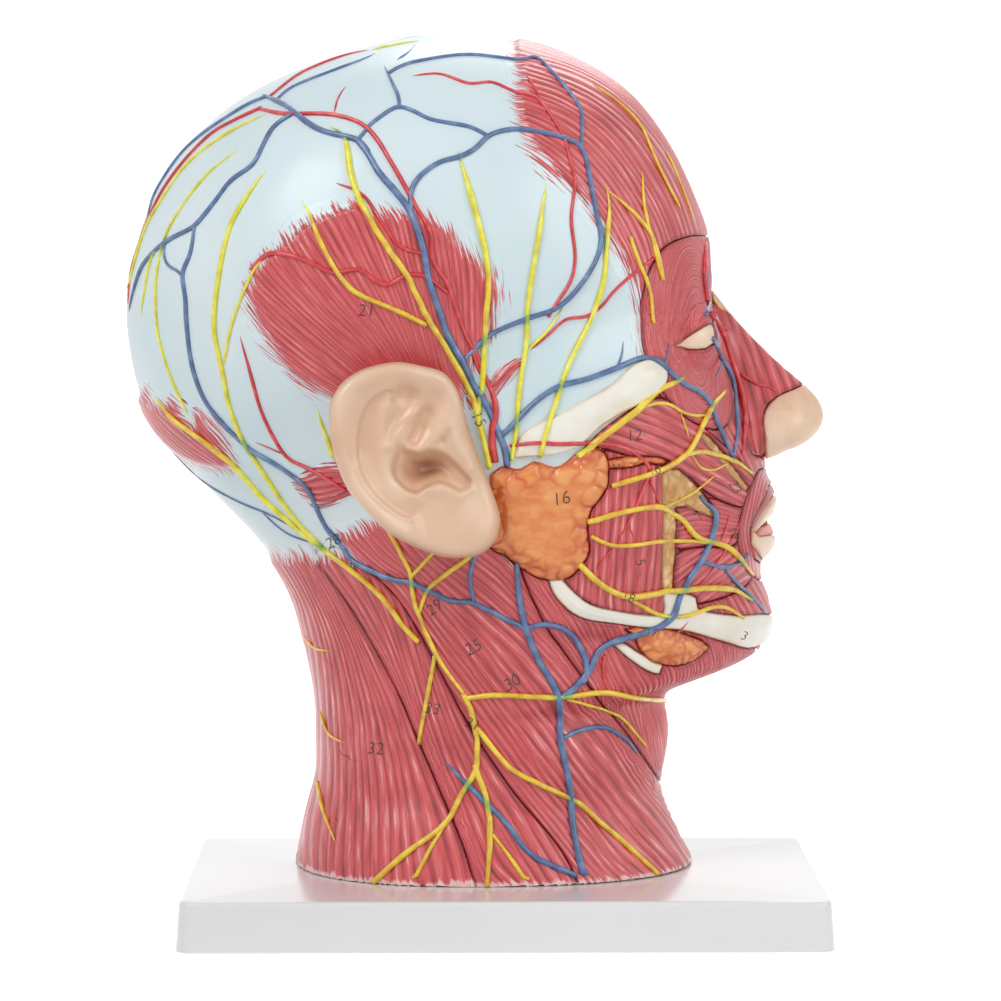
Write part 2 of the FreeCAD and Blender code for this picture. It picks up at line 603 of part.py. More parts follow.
# Vessels and nerves lie half sunk in what they cross. Their routes are pixels of the
# photograph, stem first, and each branch starts or ends on its stem
VESSEL_ROUTES_PX = {
    "scalp_veins": [
        [(501, 434), (490, 405), (466, 360), (448, 334), (440, 310), (429, 282),
         (424, 256), (419, 234), (409, 210), (395, 190), (379, 172), (366, 152),
         (350, 139), (325, 132), (306, 121), (290, 108), (274, 100), (262, 95)],
        [(411, 200), (421, 175), (440, 162), (459, 156), (475, 148), (492, 134),
         (510, 129), (530, 130), (563, 138), (582, 150), (591, 181), (596, 210),
         (600, 240), (592, 267), (574, 293), (553, 310), (526, 320), (490, 334),
         (464, 352)],
        [(484, 142), (468, 127), (448, 122), (428, 118), (412, 110), (397, 108),
         (380, 117), (368, 128), (360, 145)],
        [(398, 108), (396, 96), (391, 80), (385, 66)],
        [(390, 74), (420, 61), (450, 56), (490, 57), (530, 58), (552, 70),
         (572, 92), (581, 118), (580, 148)],
        [(292, 110), (270, 128), (262, 146), (251, 165), (231, 181), (214, 202),
         (196, 226), (172, 240), (152, 255), (141, 275), (136, 300)],
        [(190, 230), (191, 253), (183, 276), (187, 300), (188, 330), (193, 365),
         (205, 398), (223, 422), (240, 440), (262, 456), (290, 474), (309, 490)],
    ],
    "neck_veins": [
        [(515, 566), (519, 600), (527, 630), (540, 661), (556, 697), (560, 739),
         (568, 784), (574, 830), (586, 882)],
        [(320, 505), (330, 532), (343, 545), (360, 564), (392, 580), (430, 591),
         (470, 602), (498, 613), (528, 630)],
        [(470, 560), (467, 578), (471, 604)],
        [(530, 628), (548, 624), (568, 632), (582, 650), (584, 672), (576, 688),
         (556, 699)],
        [(561, 742), (580, 731), (603, 728), (624, 738), (634, 750)],
        [(444, 762), (470, 786), (500, 812), (530, 850), (582, 880)],
    ],
    "facial_veins": [
        [(706, 498), (714, 514), (711, 538), (702, 559), (689, 578), (678, 600),
         (670, 618), (646, 632), (618, 641), (598, 652), (588, 672), (572, 688),
         (558, 700)],
        [(702, 560), (724, 568), (738, 585), (758, 603), (767, 612)],
        [(502, 430), (534, 403), (558, 388), (587, 379), (617, 368), (641, 359),
         (665, 366), (686, 385), (703, 396), (714, 414), (722, 436), (732, 456)],
    ],
    "scalp_arteries": [
        [(498, 462), (496, 430), (491, 395), (476, 354), (466, 336), (456, 309),
         (448, 284), (434, 260), (430, 232), (416, 206), (403, 183), (389, 159),
         (376, 139), (358, 123), (333, 115), (306, 114), (282, 113), (262, 107)],
        [(446, 290), (427, 277), (411, 273), (389, 284), (362, 270), (333, 272),
         (314, 263), (292, 256), (271, 253)],
        [(430, 252), (408, 250), (395, 240), (379, 218), (362, 194), (338, 183)],
        [(412, 77), (440, 74), (469, 83), (491, 82), (516, 91), (540, 101),
         (556, 122), (566, 140), (571, 165), (575, 190), (572, 218), (575, 250),
         (570, 280), (555, 305)],
        [(240, 336), (249, 371), (263, 412), (282, 452), (304, 467), (328, 479)],
    ],
    "facial_arteries": [
        [(711, 313), (722, 331), (730, 351), (735, 370), (743, 392), (745, 416),
         (742, 440)],
        [(510, 447), (560, 443), (601, 444), (630, 448), (650, 461)],
    ],
    "scalp_nerves": [
        [(331, 127), (345, 140), (350, 170), (357, 194), (369, 217), (389, 250),
         (408, 277), (427, 315), (446, 347), (462, 376), (476, 408), (489, 466)],
        [(309, 214), (322, 245), (339, 274), (360, 296), (390, 311), (426, 318)],
        [(458, 152), (468, 183), (479, 229), (486, 266), (487, 300), (485, 339),
         (481, 374), (475, 404)],
        [(266, 170), (247, 197), (231, 226), (221, 261), (215, 301), (215, 335),
         (222, 371), (230, 405), (243, 438), (261, 468), (282, 498), (303, 525),
         (322, 546)],
        [(266, 114), (234, 131), (202, 152), (179, 175), (163, 199), (149, 224),
         (140, 254)],
        [(546, 184), (539, 232), (530, 300), (527, 344), (520, 382), (514, 430)],
        [(606, 187), (609, 214), (606, 250), (598, 290), (582, 338), (566, 372),
         (554, 405), (544, 440)],
    ],
    "facial_nerves": [
        [(579, 452), (606, 433), (636, 410), (660, 392), (678, 378)],
        [(600, 488), (640, 478), (668, 465), (690, 448), (705, 420), (722, 394)],
        [(594, 520), (627, 512), (662, 508), (682, 519), (699, 538), (724, 547),
         (750, 569)],
        [(584, 568), (604, 584), (628, 595), (662, 593), (697, 588), (729, 589),
         (751, 598)],
    ],
    "cervical_nerves": [
        [(392, 536), (402, 556), (413, 586), (421, 616), (434, 645), (450, 672),
         (466, 697), (475, 726), (476, 764), (461, 794), (444, 822), (410, 850),
         (378, 878)],
        [(474, 697), (510, 694), (558, 698), (604, 693), (640, 697), (664, 701)],
        [(478, 731), (508, 765), (542, 786), (576, 803), (607, 828), (656, 870)],
        [(155, 397), (176, 421), (204, 440), (238, 470), (261, 494), (288, 518),
         (322, 549), (362, 577), (390, 603), (419, 640)],
    ],
}
VESSEL_SIZES = {"veins": "vein_size", "arteries": "artery_size", "nerves": "nerve_size"}


def vessel_points(route_px, diameter):
    """A route's points on what it crosses, a quarter of its width above it."""
    points = []
    for px in route_px:
        point, outward = on_skin(px)
        ground = Vector(point.x, median, point.z)
        raised = any(face.isInside(ground, scale_x, True) for face in taken[1:])
        lift = diameter / 4 + (size("muscle_relief") if raised else 0.0)
        points.append(point + outward * lift)
    return points


for name, routes_px in VESSEL_ROUTES_PX.items():
    diameter = size(VESSEL_SIZES[name.split("_")[1]])
    tubes = [tube(vessel_points(route_px, diameter), diameter) for route_px in routes_px]
    keep_shape(name, solids_of(tubes[0].fuse(tubes[1:])))


# The flat side. Its places are shares of the head's length along the head's tilted
# axes, forwards and up from the ear hole
def deep(forward, up):
    """X and Z of a place on the flat side."""
    across = forward * math.cos(HEAD_TILT) - up * math.sin(HEAD_TILT)
    rise = forward * math.sin(HEAD_TILT) + up * math.cos(HEAD_TILT)
    across_px = MIDDLE_PX + across * HEAD_LENGTH_PX
    return place((across_px, HEAD_MIDDLE_PX - rise * HEAD_LENGTH_PX))


def flat_outline(shares, rounded=True):
    """A face on the flat side inside an outline, rounded or with straight edges."""
    points = [Vector(x, median, z) for x, z in (deep(*share) for share in shares)]
    if not rounded:
        return Part.Face(Part.makePolygon(points + points[:1]))
    ring = Part.BSplineCurve()
    ring.interpolate(points, PeriodicFlag=True)
    return Part.Face(Part.Wire(ring.toShape()))


def block_outline(middle, half_long, half_tall, lean):
    """A straight-edged block round a place on the flat side, leaned by an angle."""
    corners = []
    for long_sign, tall_sign in ((1, 1), (-1, 1), (-1, -1), (1, -1)):
        along, up = long_sign * half_long, tall_sign * half_tall
        corners.append((
            middle[0] + along * math.cos(lean) - up * math.sin(lean),
            middle[1] + along * math.sin(lean) + up * math.cos(lean),
        ))
    return flat_outline(corners, rounded=False)


# The brain half: half an ellipsoid along the head's tilted axes, with a flat floor
BRAIN_MIDDLE_SHARES = (-0.067, 0.300)
BRAIN_FLOOR_SHARE = 0.152
CROWN_SHARE = 0.741
head_upright = size("model_height") / (NECK_FOOT_PX - CROWN_PX) * HEAD_LENGTH_PX
brain_long = size("head_length") / 2 - size("vault")
brain_tall = (CROWN_SHARE - BRAIN_MIDDLE_SHARES[1]) * head_upright - size("vault")
brain_deep = size("half_breadth") - size("vault_side")
brain_x, brain_z = deep(*BRAIN_MIDDLE_SHARES)
brain_middle = Vector(brain_x, median, brain_z)
tilt = Rotation(Vector(0, 1, 0), -math.degrees(HEAD_TILT))


def tilted(shape, middle):
    """Turn a shape made at the origin to the head's tilt, and move it to its place."""
    shape.Placement = Placement(middle, tilt)
    return shape


def brain_half(growth):
    """The brain half, grown all round but at its flat side."""
    whole = ellipsoid(Vector(), brain_long + growth, brain_deep + growth, brain_tall + growth)
    floor = (BRAIN_MIDDLE_SHARES[1] - BRAIN_FLOOR_SHARE) * head_upright + growth
    room = Part.makeBox(WIDE, WIDE, WIDE, Vector(-WIDE / 2, -WIDE, -floor))
    return tilted(whole.common(room), brain_middle)


def brain_ring(growth):
    """The oval outline of the grown brain on the flat side."""
    ring = Part.Ellipse(Vector(), brain_long + growth, brain_tall + growth)
    face = Part.Face(Part.Wire(ring.toShape()))
    face.rotate(Vector(), Vector(1, 0, 0), 90)
    face.Placement = Placement(brain_middle, tilt).multiply(face.Placement)
    return face


def inlay(face, rise):
    """A flat-side piece: its outline from the pocket's floor to its rise."""
    lowered = face.translated(Vector(0, -size("inlay_depth"), 0))
    return lowered.extrude(Vector(0, size("inlay_depth") + rise, 0))


# Locating pins and their sockets, beside the brain's middle along the tilted axes
PIN_SHARES = [(0.21, -0.03), (-0.23, -0.03)]
pin_roots, pins, sockets, bores = [], [], [], []
for along_share, up_share in PIN_SHARES:
    along, up = along_share * size("head_length"), up_share * head_upright
    inside = 1 - (along / brain_long) ** 2 - (up / brain_tall) ** 2
    face_depth = brain_deep * math.sqrt(inside)
    start = brain_middle + tilt.multVec(Vector(along, 0, up))
    start.y = median - face_depth + size("pin_root")
    radius = size("pin_size") / 2
    away = Vector(0, -1, 0)
    whole_pin = size("pin_root") + size("pin_length")
    pins.append(Part.makeCylinder(radius, whole_pin, start, away))
    bore = whole_pin + size("pin_gap")
    bores.append(Part.makeCylinder(radius + size("pin_gap"), bore, start, away))
    outer = radius + size("pin_gap") + size("socket_wall")
    seat = start + away * size("pin_root")
    reach = bore - size("pin_root") + size("socket_wall")
    sockets.append(Part.makeCylinder(outer, reach, seat, away))

CALLOSUM_SHARES = [
    (0.110, 0.250), (0.090, 0.305), (0.000, 0.345), (-0.120, 0.335), (-0.200, 0.265),
    (-0.180, 0.235), (-0.120, 0.290), (0.000, 0.300), (0.060, 0.265), (0.080, 0.230),
]
THALAMUS_SHARES = [
    (-0.020, 0.265), (-0.100, 0.270), (-0.140, 0.235), (-0.100, 0.185),
    (-0.030, 0.180), (0.030, 0.200), (0.030, 0.240),
]
brain = brain_half(0.0).cut(pins)
for name, shares in (("corpus_callosum", CALLOSUM_SHARES), ("thalamus", THALAMUS_SHARES)):
    face = flat_outline(shares)
    keep_shape(name, inlay(face, size("inlay_rise")))
    brain = brain.cut(inlay(face, 0.0))
keep_shape("cerebral_hemisphere", solids_of(brain))
keep_shape("locating_pins", Part.makeCompound(pins))

# The median casting: the flat wall with the brain's bowl and the pins' sockets, which
# stay clear of the outer casting
fit_gap = size("fit_gap")
inside_casting = head_solid(-size("shell_wall") - fit_gap)
bowl_skin = size("brain_gap") + size("bowl_wall")
bowl_block = brain_half(bowl_skin).fuse(sockets).common(inside_casting)
section = core.common(behind_plate).fuse(bowl_block)
section = section.cut([brain_half(size("brain_gap"))] + bores)

# Inlays of the flat side: each fills a pocket of its own
CEREBELLUM_SHARES = [
    (-0.400, 0.118), (-0.376, 0.030), (-0.315, -0.040), (-0.234, -0.071),
    (-0.173, -0.030), (-0.150, 0.050), (-0.170, 0.112), (-0.280, 0.118),
]
BRAINSTEM_SHARES = [
    (-0.095, 0.120), (-0.050, 0.108), (-0.015, 0.055), (-0.020, -0.005),
    (-0.065, -0.050), (-0.095, -0.110), (-0.135, -0.220), (-0.205, -0.405),
    (-0.260, -0.580), (-0.272, -0.611), (-0.302, -0.609), (-0.308, -0.575),
    (-0.258, -0.410), (-0.190, -0.225), (-0.148, -0.110), (-0.125, -0.030),
    (-0.116, 0.045), (-0.125, 0.110),
]
AXIS_SHARES = [
    (-0.040, -0.128), (-0.068, -0.132), (-0.085, -0.190), (-0.122, -0.235),
    (-0.145, -0.300), (-0.105, -0.322), (-0.062, -0.322), (-0.060, -0.260),
    (-0.045, -0.200),
]
TONGUE_SHARES = [
    (0.325, -0.210), (0.255, -0.168), (0.150, -0.180), (0.105, -0.250),
    (0.090, -0.325), (0.135, -0.370), (0.210, -0.360), (0.272, -0.320),
    (0.318, -0.255),
]
PALATE_SHARES = [
    (0.165, -0.118), (0.392, -0.118), (0.395, -0.142), (0.345, -0.146), (0.165, -0.136),
]
SOFT_PALATE_SHARES = [
    (0.155, -0.120), (0.100, -0.148), (0.062, -0.212), (0.074, -0.222),
    (0.113, -0.172), (0.153, -0.140),
]
JAW_SHARES = [
    (0.345, -0.290), (0.352, -0.335), (0.340, -0.385), (0.315, -0.395),
    (0.300, -0.350), (0.311, -0.295),
]
LARYNX_SHARES = [
    (0.100, -0.430), (0.125, -0.480), (0.100, -0.535), (0.062, -0.530),
    (0.058, -0.470),
]
UPPER_TOOTH_SHARES = [(0.352, -0.150), (0.377, -0.150), (0.374, -0.198), (0.362, -0.202)]
LOWER_TOOTH_SHARES = [(0.350, -0.262), (0.371, -0.262), (0.368, -0.210), (0.357, -0.206)]
CONCHA_SHARE_LISTS = [
    [(0.185, -0.068), (0.280, -0.086), (0.370, -0.072), (0.350, -0.046), (0.250, -0.044)],
    [(0.190, -0.012), (0.280, -0.026), (0.362, -0.010), (0.330, 0.016), (0.250, 0.014)],
    [(0.212, 0.055), (0.280, 0.043), (0.332, 0.056), (0.290, 0.080), (0.235, 0.077)],
]
AIRWAY_SHARE_LISTS = [
    [(0.150, -0.085), (0.150, 0.030), (0.190, 0.108), (0.280, 0.122),
     (0.345, 0.105), (0.395, 0.020), (0.400, -0.045), (0.385, -0.102),
     (0.300, -0.106), (0.200, -0.104)],
    [(0.132, -0.030), (0.050, -0.060), (0.010, -0.130), (0.005, -0.220),
     (-0.025, -0.340), (0.010, -0.400), (0.050, -0.360), (0.050, -0.250),
     (0.040, -0.165), (0.095, -0.112), (0.132, -0.090)],
    [(0.010, -0.425), (0.042, -0.425), (0.045, -0.540), (0.000, -0.655),
     (-0.050, -0.650), (-0.018, -0.540)],
]
# Vertebrae below the axis: the first one's place, the step to the next, and sizes
BODY_SHARES = (-0.120, -0.375)
LEVEL_STEP_SHARES = (-0.024, -0.077)
BODY_SIZE_SHARES = (0.043, 0.030)
DISC_SIZE_SHARES = (0.040, 0.0085)
SPINE_SHARES = (-0.272, -0.211)
SPINE_STEP_SHARES = (-0.021, -0.078)
SPINE_SIZE_SHARES = (0.038, 0.017)
RING_SHARES = (0.066, -0.560)
RING_STEP_SHARES = (-0.0105, -0.024)
RING_SIZE_SHARES = (0.009, 0.0085)
BODY_LEVELS = 4
SPINE_LEVELS = 5
RING_COUNT = 5
SPINE_LEAN = math.radians(8)
neck_lean = math.atan2(LEVEL_STEP_SHARES[1], LEVEL_STEP_SHARES[0]) + math.pi / 2


def down_the_neck(start, step, count):
    """Evenly spaced places down the neck."""
    return [(start[0] + step[0] * level, start[1] + step[1] * level) for level in count]


vertebrae = [
    block_outline(middle, *BODY_SIZE_SHARES, neck_lean)
    for middle in down_the_neck(BODY_SHARES, LEVEL_STEP_SHARES, range(BODY_LEVELS))
]
disc_levels = [level + 0.5 for level in range(BODY_LEVELS - 1)]
discs = [
    block_outline(middle, *DISC_SIZE_SHARES, neck_lean)
    for middle in down_the_neck(BODY_SHARES, LEVEL_STEP_SHARES, disc_levels)
]
spines = [
    block_outline(middle, *SPINE_SIZE_SHARES, SPINE_LEAN)
    for middle in down_the_neck(SPINE_SHARES, SPINE_STEP_SHARES, range(SPINE_LEVELS))
]
rings = [
    block_outline(middle, *RING_SIZE_SHARES, neck_lean)
    for middle in down_the_neck(RING_SHARES, RING_STEP_SHARES, range(RING_COUNT))
]
skull_inner = bowl_skin + size("bowl_wall") / 2
skull = brain_ring(skull_inner + size("skull_band")).cut(brain_ring(skull_inner))
floor_x, floor_z = deep(0.0, BRAIN_FLOOR_SHARE)
above = Part.makeBox(WIDE, WIDE, WIDE, Vector(-WIDE / 2, -WIDE / 2, 0))
skull = skull.common(tilted(above, Vector(floor_x, median, floor_z))).common(hollow)
flat_rise = size("inlay_rise")
SECTION_PIECES = [
    ("skull_section", skull.Faces),
    ("cerebellum", [flat_outline(CEREBELLUM_SHARES)]),
    ("brainstem_and_cord", [flat_outline(BRAINSTEM_SHARES)]),
    ("cervical_vertebrae", [flat_outline(AXIS_SHARES)] + vertebrae),
    ("intervertebral_discs", discs),
    ("spinous_processes", spines),
    ("tongue", [flat_outline(TONGUE_SHARES)]),
    ("hard_palate", [flat_outline(PALATE_SHARES, False)]),
    ("soft_palate", [flat_outline(SOFT_PALATE_SHARES)]),
    ("jaw_section", [flat_outline(JAW_SHARES)]),
    ("larynx", [flat_outline(LARYNX_SHARES)]),
    ("tracheal_rings", rings),
    ("incisor_teeth", [
        flat_outline(UPPER_TOOTH_SHARES, False), flat_outline(LOWER_TOOTH_SHARES, False),
    ]),
]
pockets = [inlay(flat_outline(shares), flat_rise) for shares in AIRWAY_SHARE_LISTS]
for name, faces in SECTION_PIECES:
    pieces = [inlay(face, flat_rise) for face in faces]
    pockets += pieces
    keep_shape(name, solids_of(Part.makeCompound(pieces)))
conchae = [inlay(flat_outline(shares), -flat_rise / 2) for shares in CONCHA_SHARE_LISTS]
keep_shape("nasal_conchae", Part.makeCompound(conchae))
for pocket in pockets:
    section = section.cut(pocket)
keep_shape("median_section", solids_of(section))


# The three screws' places: the sizes that set them, with their signs
SCREW_PLACES = [
    ("-screw_spread", "screw_row"),
    ("screw_spread", "screw_row"),
    ("screw_aside", "-screw_front"),
]


def signed_rule(word):
    """The sheet's rule for a size with a sign."""
    return f"-Sizes.{word[1:]}" if word.startswith("-") else f"Sizes.{word}"


def signed_size(word):
    """The value of a size with a sign."""
    return -size(word[1:]) if word.startswith("-") else size(word)


# The neck block: a plug glued in the casting's foot, which the base's screws bite
plug_top = Part.makeBox(WIDE, WIDE, size("block_height"), Vector(-WIDE / 2, -WIDE, plate_top))
plug = inside_casting.common(plug_top)
plug = plug.cut(behind_plate.translated(Vector(0, -fit_gap, 0)))
hole_radius = size("screw_size") / 2 + size("screw_room")
washer_level = plate_top - size("plate_wall") - size("boss_depth") - size("washer_thick")
grip = size("screw_grip") + size("screw_room")
for x_word, y_word in SCREW_PLACES:
    foot = Vector(signed_size(x_word), signed_size(y_word), washer_level)
    plug = plug.cut(Part.makeCylinder(hole_radius, grip, foot))
keep_shape("neck_block", solids_of(plug))

# The base: a moulded tray with its open side down, stiffened by a cross of ribs
base = doc.addObject("PartDesign::Body", "Base")
keep("base_plate", base)
floor_plane = next(
    feature for feature in base.Origin.OriginFeatures if feature.Role == "XY_Plane"
)


def base_sketch(name, level_rule=None):
    """A sketch on the floor plane, or raised above it."""
    sketch = base.newObject("Sketcher::SketchObject", name)
    sketch.AttachmentSupport = (floor_plane, "")
    sketch.MapMode = "FlatFace"
    if level_rule:
        sketch.setExpression(".AttachmentOffset.Base.z", level_rule)
    return sketch


ROUGH_CORNERS = [(0, 0), (1, 0), (1, 1), (0, 1)]
rough_size = size("plate_wall")


def rectangle(sketch, left, right, near, far):
    """A rectangle between four rules: its sides' distances from the middle."""
    first = sketch.GeometryCount
    rough = [Vector(across, along, 0) * rough_size for across, along in ROUGH_CORNERS]
    for line in range(4):
        sketch.addGeometry(Part.LineSegment(rough[line], rough[(line + 1) % 4]), False)
    for line in range(4):
        joined = (first + line, 2, first + (line + 1) % 4, 1)
        sketch.addConstraint(Sketcher.Constraint("Coincident", *joined))
    for line, direction in enumerate(("Horizontal", "Vertical") * 2):
        sketch.addConstraint(Sketcher.Constraint(direction, first + line))
    sides = [("DistanceX", 0, left), ("DistanceX", 2, right)]
    sides += [("DistanceY", 0, near), ("DistanceY", 2, far)]
    for kind, line, rule in sides:
        start = rough_size * (1 + line)
        held = Sketcher.Constraint(kind, -1, 1, first + line, 1, start)
        datum = sketch.addConstraint(held)
        sketch.setExpression(f"Constraints[{datum}]", rule)


def circles(sketch, radius_rule):
    """A circle round each screw's place."""
    for x_word, y_word in SCREW_PLACES:
        middle = Vector(signed_size(x_word), signed_size(y_word), 0)
        ring = sketch.addGeometry(
            Part.Circle(middle, Vector(0, 0, 1), size("screw_size")), False
        )
        held = [
            (Sketcher.Constraint("DistanceX", -1, 1, ring, 3, middle.x), signed_rule(x_word)),
            (Sketcher.Constraint("DistanceY", -1, 1, ring, 3, middle.y), signed_rule(y_word)),
            (Sketcher.Constraint("Radius", ring, size("screw_size")), radius_rule),
        ]
        for constraint, rule in held:
            datum = sketch.addConstraint(constraint)
            sketch.setExpression(f"Constraints[{datum}]", rule)


outline = base_sketch("BaseOutline")
half_long, half_wide = "Sizes.plate_length / 2", "Sizes.plate_width / 2"
rectangle(outline, f"-{half_long}", half_long, f"-{half_wide}", half_wide)
block = base.newObject("PartDesign::Pad", "BaseBlock")
block.Profile = outline
block.setExpression("Length", "Sizes.plate_height")
block.setExpression("TaperAngle", "-Sizes.plate_draft")
doc.recompute()
uprights = [
    f"Edge{number}"
    for number, edge in enumerate(block.Shape.Edges, start=1)
    if edge.BoundBox.ZLength > size("plate_height") / 2
]
corners = base.newObject("PartDesign::Fillet", "BaseCorners")
corners.Base = (block, uprights)
corners.setExpression("Radius", "Sizes.plate_corner")
doc.recompute()
top_edges = [
    f"Edge{number}"
    for number, edge in enumerate(corners.Shape.Edges, start=1)
    if edge.BoundBox.ZMin > size("plate_height") / 2
]
rim = base.newObject("PartDesign::Fillet", "BaseRim")
rim.Base = (corners, top_edges)
rim.setExpression("Radius", "Sizes.plate_edge")
doc.recompute()
hollows = base_sketch("BaseHollows")
rib = "Sizes.plate_wall / 2"
inset = "(Sizes.plate_wall + Sizes.plate_height * tan(Sizes.plate_draft))"
inner_long = f"Sizes.plate_length / 2 - {inset}"
inner_wide = f"Sizes.plate_width / 2 - {inset}"
for left, right in ((f"-({inner_long})", f"-{rib}"), (rib, inner_long)):
    for near, far in ((f"-({inner_wide})", f"-{rib}"), (rib, inner_wide)):
        rectangle(hollows, left, right, near, far)
hollowed = base.newObject("PartDesign::Pocket", "BaseHollowed")
hollowed.Profile = hollows
hollowed.Reversed = True
hollowed.setExpression("Length", "Sizes.plate_height - Sizes.plate_wall")
boss_foot = "Sizes.plate_height - Sizes.plate_wall - Sizes.boss_depth"
boss_circles = base_sketch("BossCircles", boss_foot)
circles(boss_circles, "Sizes.boss_size / 2")
bosses = base.newObject("PartDesign::Pad", "ScrewBosses")
bosses.Profile = boss_circles
bosses.setExpression("Length", "Sizes.boss_depth + Sizes.plate_wall / 2")
hole_circles = base_sketch("HoleCircles")
circles(hole_circles, "Sizes.screw_size / 2 + Sizes.screw_room")
holes = base.newObject("PartDesign::Pocket", "ScrewHoles")
holes.Profile = hole_circles
holes.Type = "ThroughAll"
holes.Reversed = True
doc.recompute()

# Three screws with washers rise through the base's bosses into the neck block
washers, screws = [], []


def turned(name, radius_rule, height_rule, level_rule, x_rule, y_rule):
    """An upright round piece at a screw's place."""
    item = doc.addObject("Part::Cylinder", name)
    item.setExpression("Radius", radius_rule)
    item.setExpression("Height", height_rule)
    item.setExpression("Placement.Base.x", x_rule)
    item.setExpression("Placement.Base.y", y_rule)
    item.setExpression("Placement.Base.z", level_rule)
    return item


washer_foot = f"{boss_foot} - Sizes.washer_thick"
cap_foot = f"{washer_foot} - Sizes.screw_cap_height"
screw_hole = "Sizes.screw_size / 2 + Sizes.screw_room"
for x_word, y_word in SCREW_PLACES:
    here = (signed_rule(x_word), signed_rule(y_word))
    disc = turned("Disc", "Sizes.washer_size / 2", "Sizes.washer_thick", washer_foot, *here)
    hole = turned("Hole", screw_hole, "Sizes.washer_thick", washer_foot, *here)
    washer = doc.addObject("Part::Cut", "Washer")
    washer.Base, washer.Tool = disc, hole
    washers.append(washer)
    cap = turned("Cap", "Sizes.screw_cap / 2", "Sizes.screw_cap_height", cap_foot, *here)
    shank = turned("Shank", "Sizes.screw_size / 2", "Sizes.screw_grip", washer_foot, *here)
    screw = doc.addObject("Part::Fuse", "Screw")
    screw.Base, screw.Tool = cap, shank
    screws.append(screw)
for name, links in (("base_washers", washers), ("base_screws", screws)):
    group = doc.addObject("Part::Compound", name)
    group.Links = links
    keep(name, group)

# Check every object and write each sub-part to its own file
doc.recompute()
for item in doc.Objects:
    for state in item.State:
        if state in ("Invalid", "Error"):
            raise RuntimeError(f"{item.Label}: {state}")
os.makedirs("parts", exist_ok=True)
for name, item in nodes.items():
    shape = item.Shape
    if shape.isNull() or not shape.isValid():
        raise RuntimeError(f"{name}: no valid shape")
    shape.exportStep(f"parts/{name}.step")
    print(f"{name}: {len(shape.Solids)} solids, {shape.Volume:.0f} mm3")
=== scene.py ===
import json
import math

import bmesh
import bpy
import numpy as np
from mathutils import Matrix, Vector, kdtree, noise
from mathutils.bvhtree import BVHTree

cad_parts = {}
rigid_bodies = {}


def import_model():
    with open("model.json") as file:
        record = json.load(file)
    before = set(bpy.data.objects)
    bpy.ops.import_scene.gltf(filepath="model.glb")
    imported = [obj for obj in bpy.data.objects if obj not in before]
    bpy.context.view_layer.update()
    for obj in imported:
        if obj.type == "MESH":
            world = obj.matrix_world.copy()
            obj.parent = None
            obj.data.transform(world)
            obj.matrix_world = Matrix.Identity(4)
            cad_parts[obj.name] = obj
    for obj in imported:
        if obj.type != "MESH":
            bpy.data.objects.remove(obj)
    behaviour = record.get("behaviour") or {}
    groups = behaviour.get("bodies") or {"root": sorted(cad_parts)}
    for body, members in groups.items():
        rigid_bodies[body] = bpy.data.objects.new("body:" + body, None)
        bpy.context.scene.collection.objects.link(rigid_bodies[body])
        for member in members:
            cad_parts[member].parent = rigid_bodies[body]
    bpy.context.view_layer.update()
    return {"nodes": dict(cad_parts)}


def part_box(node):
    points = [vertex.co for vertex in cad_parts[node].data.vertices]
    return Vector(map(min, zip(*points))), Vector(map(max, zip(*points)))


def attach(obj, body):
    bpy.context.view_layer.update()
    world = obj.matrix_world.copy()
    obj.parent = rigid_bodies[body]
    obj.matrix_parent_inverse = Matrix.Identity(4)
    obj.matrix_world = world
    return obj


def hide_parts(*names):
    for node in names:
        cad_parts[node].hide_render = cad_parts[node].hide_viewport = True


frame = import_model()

# The camera stands where the photograph was taken from: a long lens, 1.44 m from the
# flat side, looking slightly down and a little towards the face.
EYE = Vector((-0.0170, -1.4210, 0.2401))
LOOK_DOWN = math.radians(4.08)
LOOK_ASIDE = math.radians(0.65)
FRAME_PX = 1001
FOCAL_PX = 4304
camera_data = bpy.data.cameras.new("camera")
camera_data.sensor_width = 36
camera_data.lens = FOCAL_PX / FRAME_PX * camera_data.sensor_width
camera_data.clip_end = 20
camera = bpy.data.objects.new("camera", camera_data)
camera.location = EYE
camera.rotation_euler = (math.radians(90) - LOOK_DOWN, 0, -LOOK_ASIDE)
bpy.context.scene.collection.objects.link(camera)
bpy.context.scene.camera = camera
bpy.context.view_layer.update()
to_camera = np.array(camera.matrix_world.inverted())
from_camera = camera.matrix_world.to_3x3()


def pixels_of(points):
    """Where points of the model show in the photograph's frame, in pixels."""
    seen = np.asarray(points, float) @ to_camera[:3, :3].T + to_camera[:3, 3]
    scale = FOCAL_PX / -seen[:, 2:3]
    return FRAME_PX / 2 + seen[:, :2] * scale * (1, -1)


def sight_line(px):
    """The direction from the camera through a pixel."""
    across, down = px[0] - FRAME_PX / 2, px[1] - FRAME_PX / 2
    return (from_camera @ Vector((across, -down, -FOCAL_PX))).normalized()


# A white studio: a pale floor that runs up into a backdrop, a broad lamp from the
# upper left, a weaker one from the right and one from behind for the outline.
def linear(red, green, blue):
    """A colour as it is seen, made linear for a shader."""
    return tuple((c / 255 / 12.92) if c < 10.3 else ((c / 255 + 0.055) / 1.055) ** 2.4
                 for c in (red, green, blue)) + (1.0,)


def add(tree, kind, inputs=None, **settings):
    """A node with its settings; an input is given as a value or as another's output."""
    made = tree.nodes.new(kind)
    for name, value in settings.items():
        setattr(made, name, value)
    for key, value in (inputs or {}).items():
        if isinstance(value, bpy.types.NodeSocket):
            tree.links.new(value, made.inputs[key])
        else:
            made.inputs[key].default_value = value
    return made


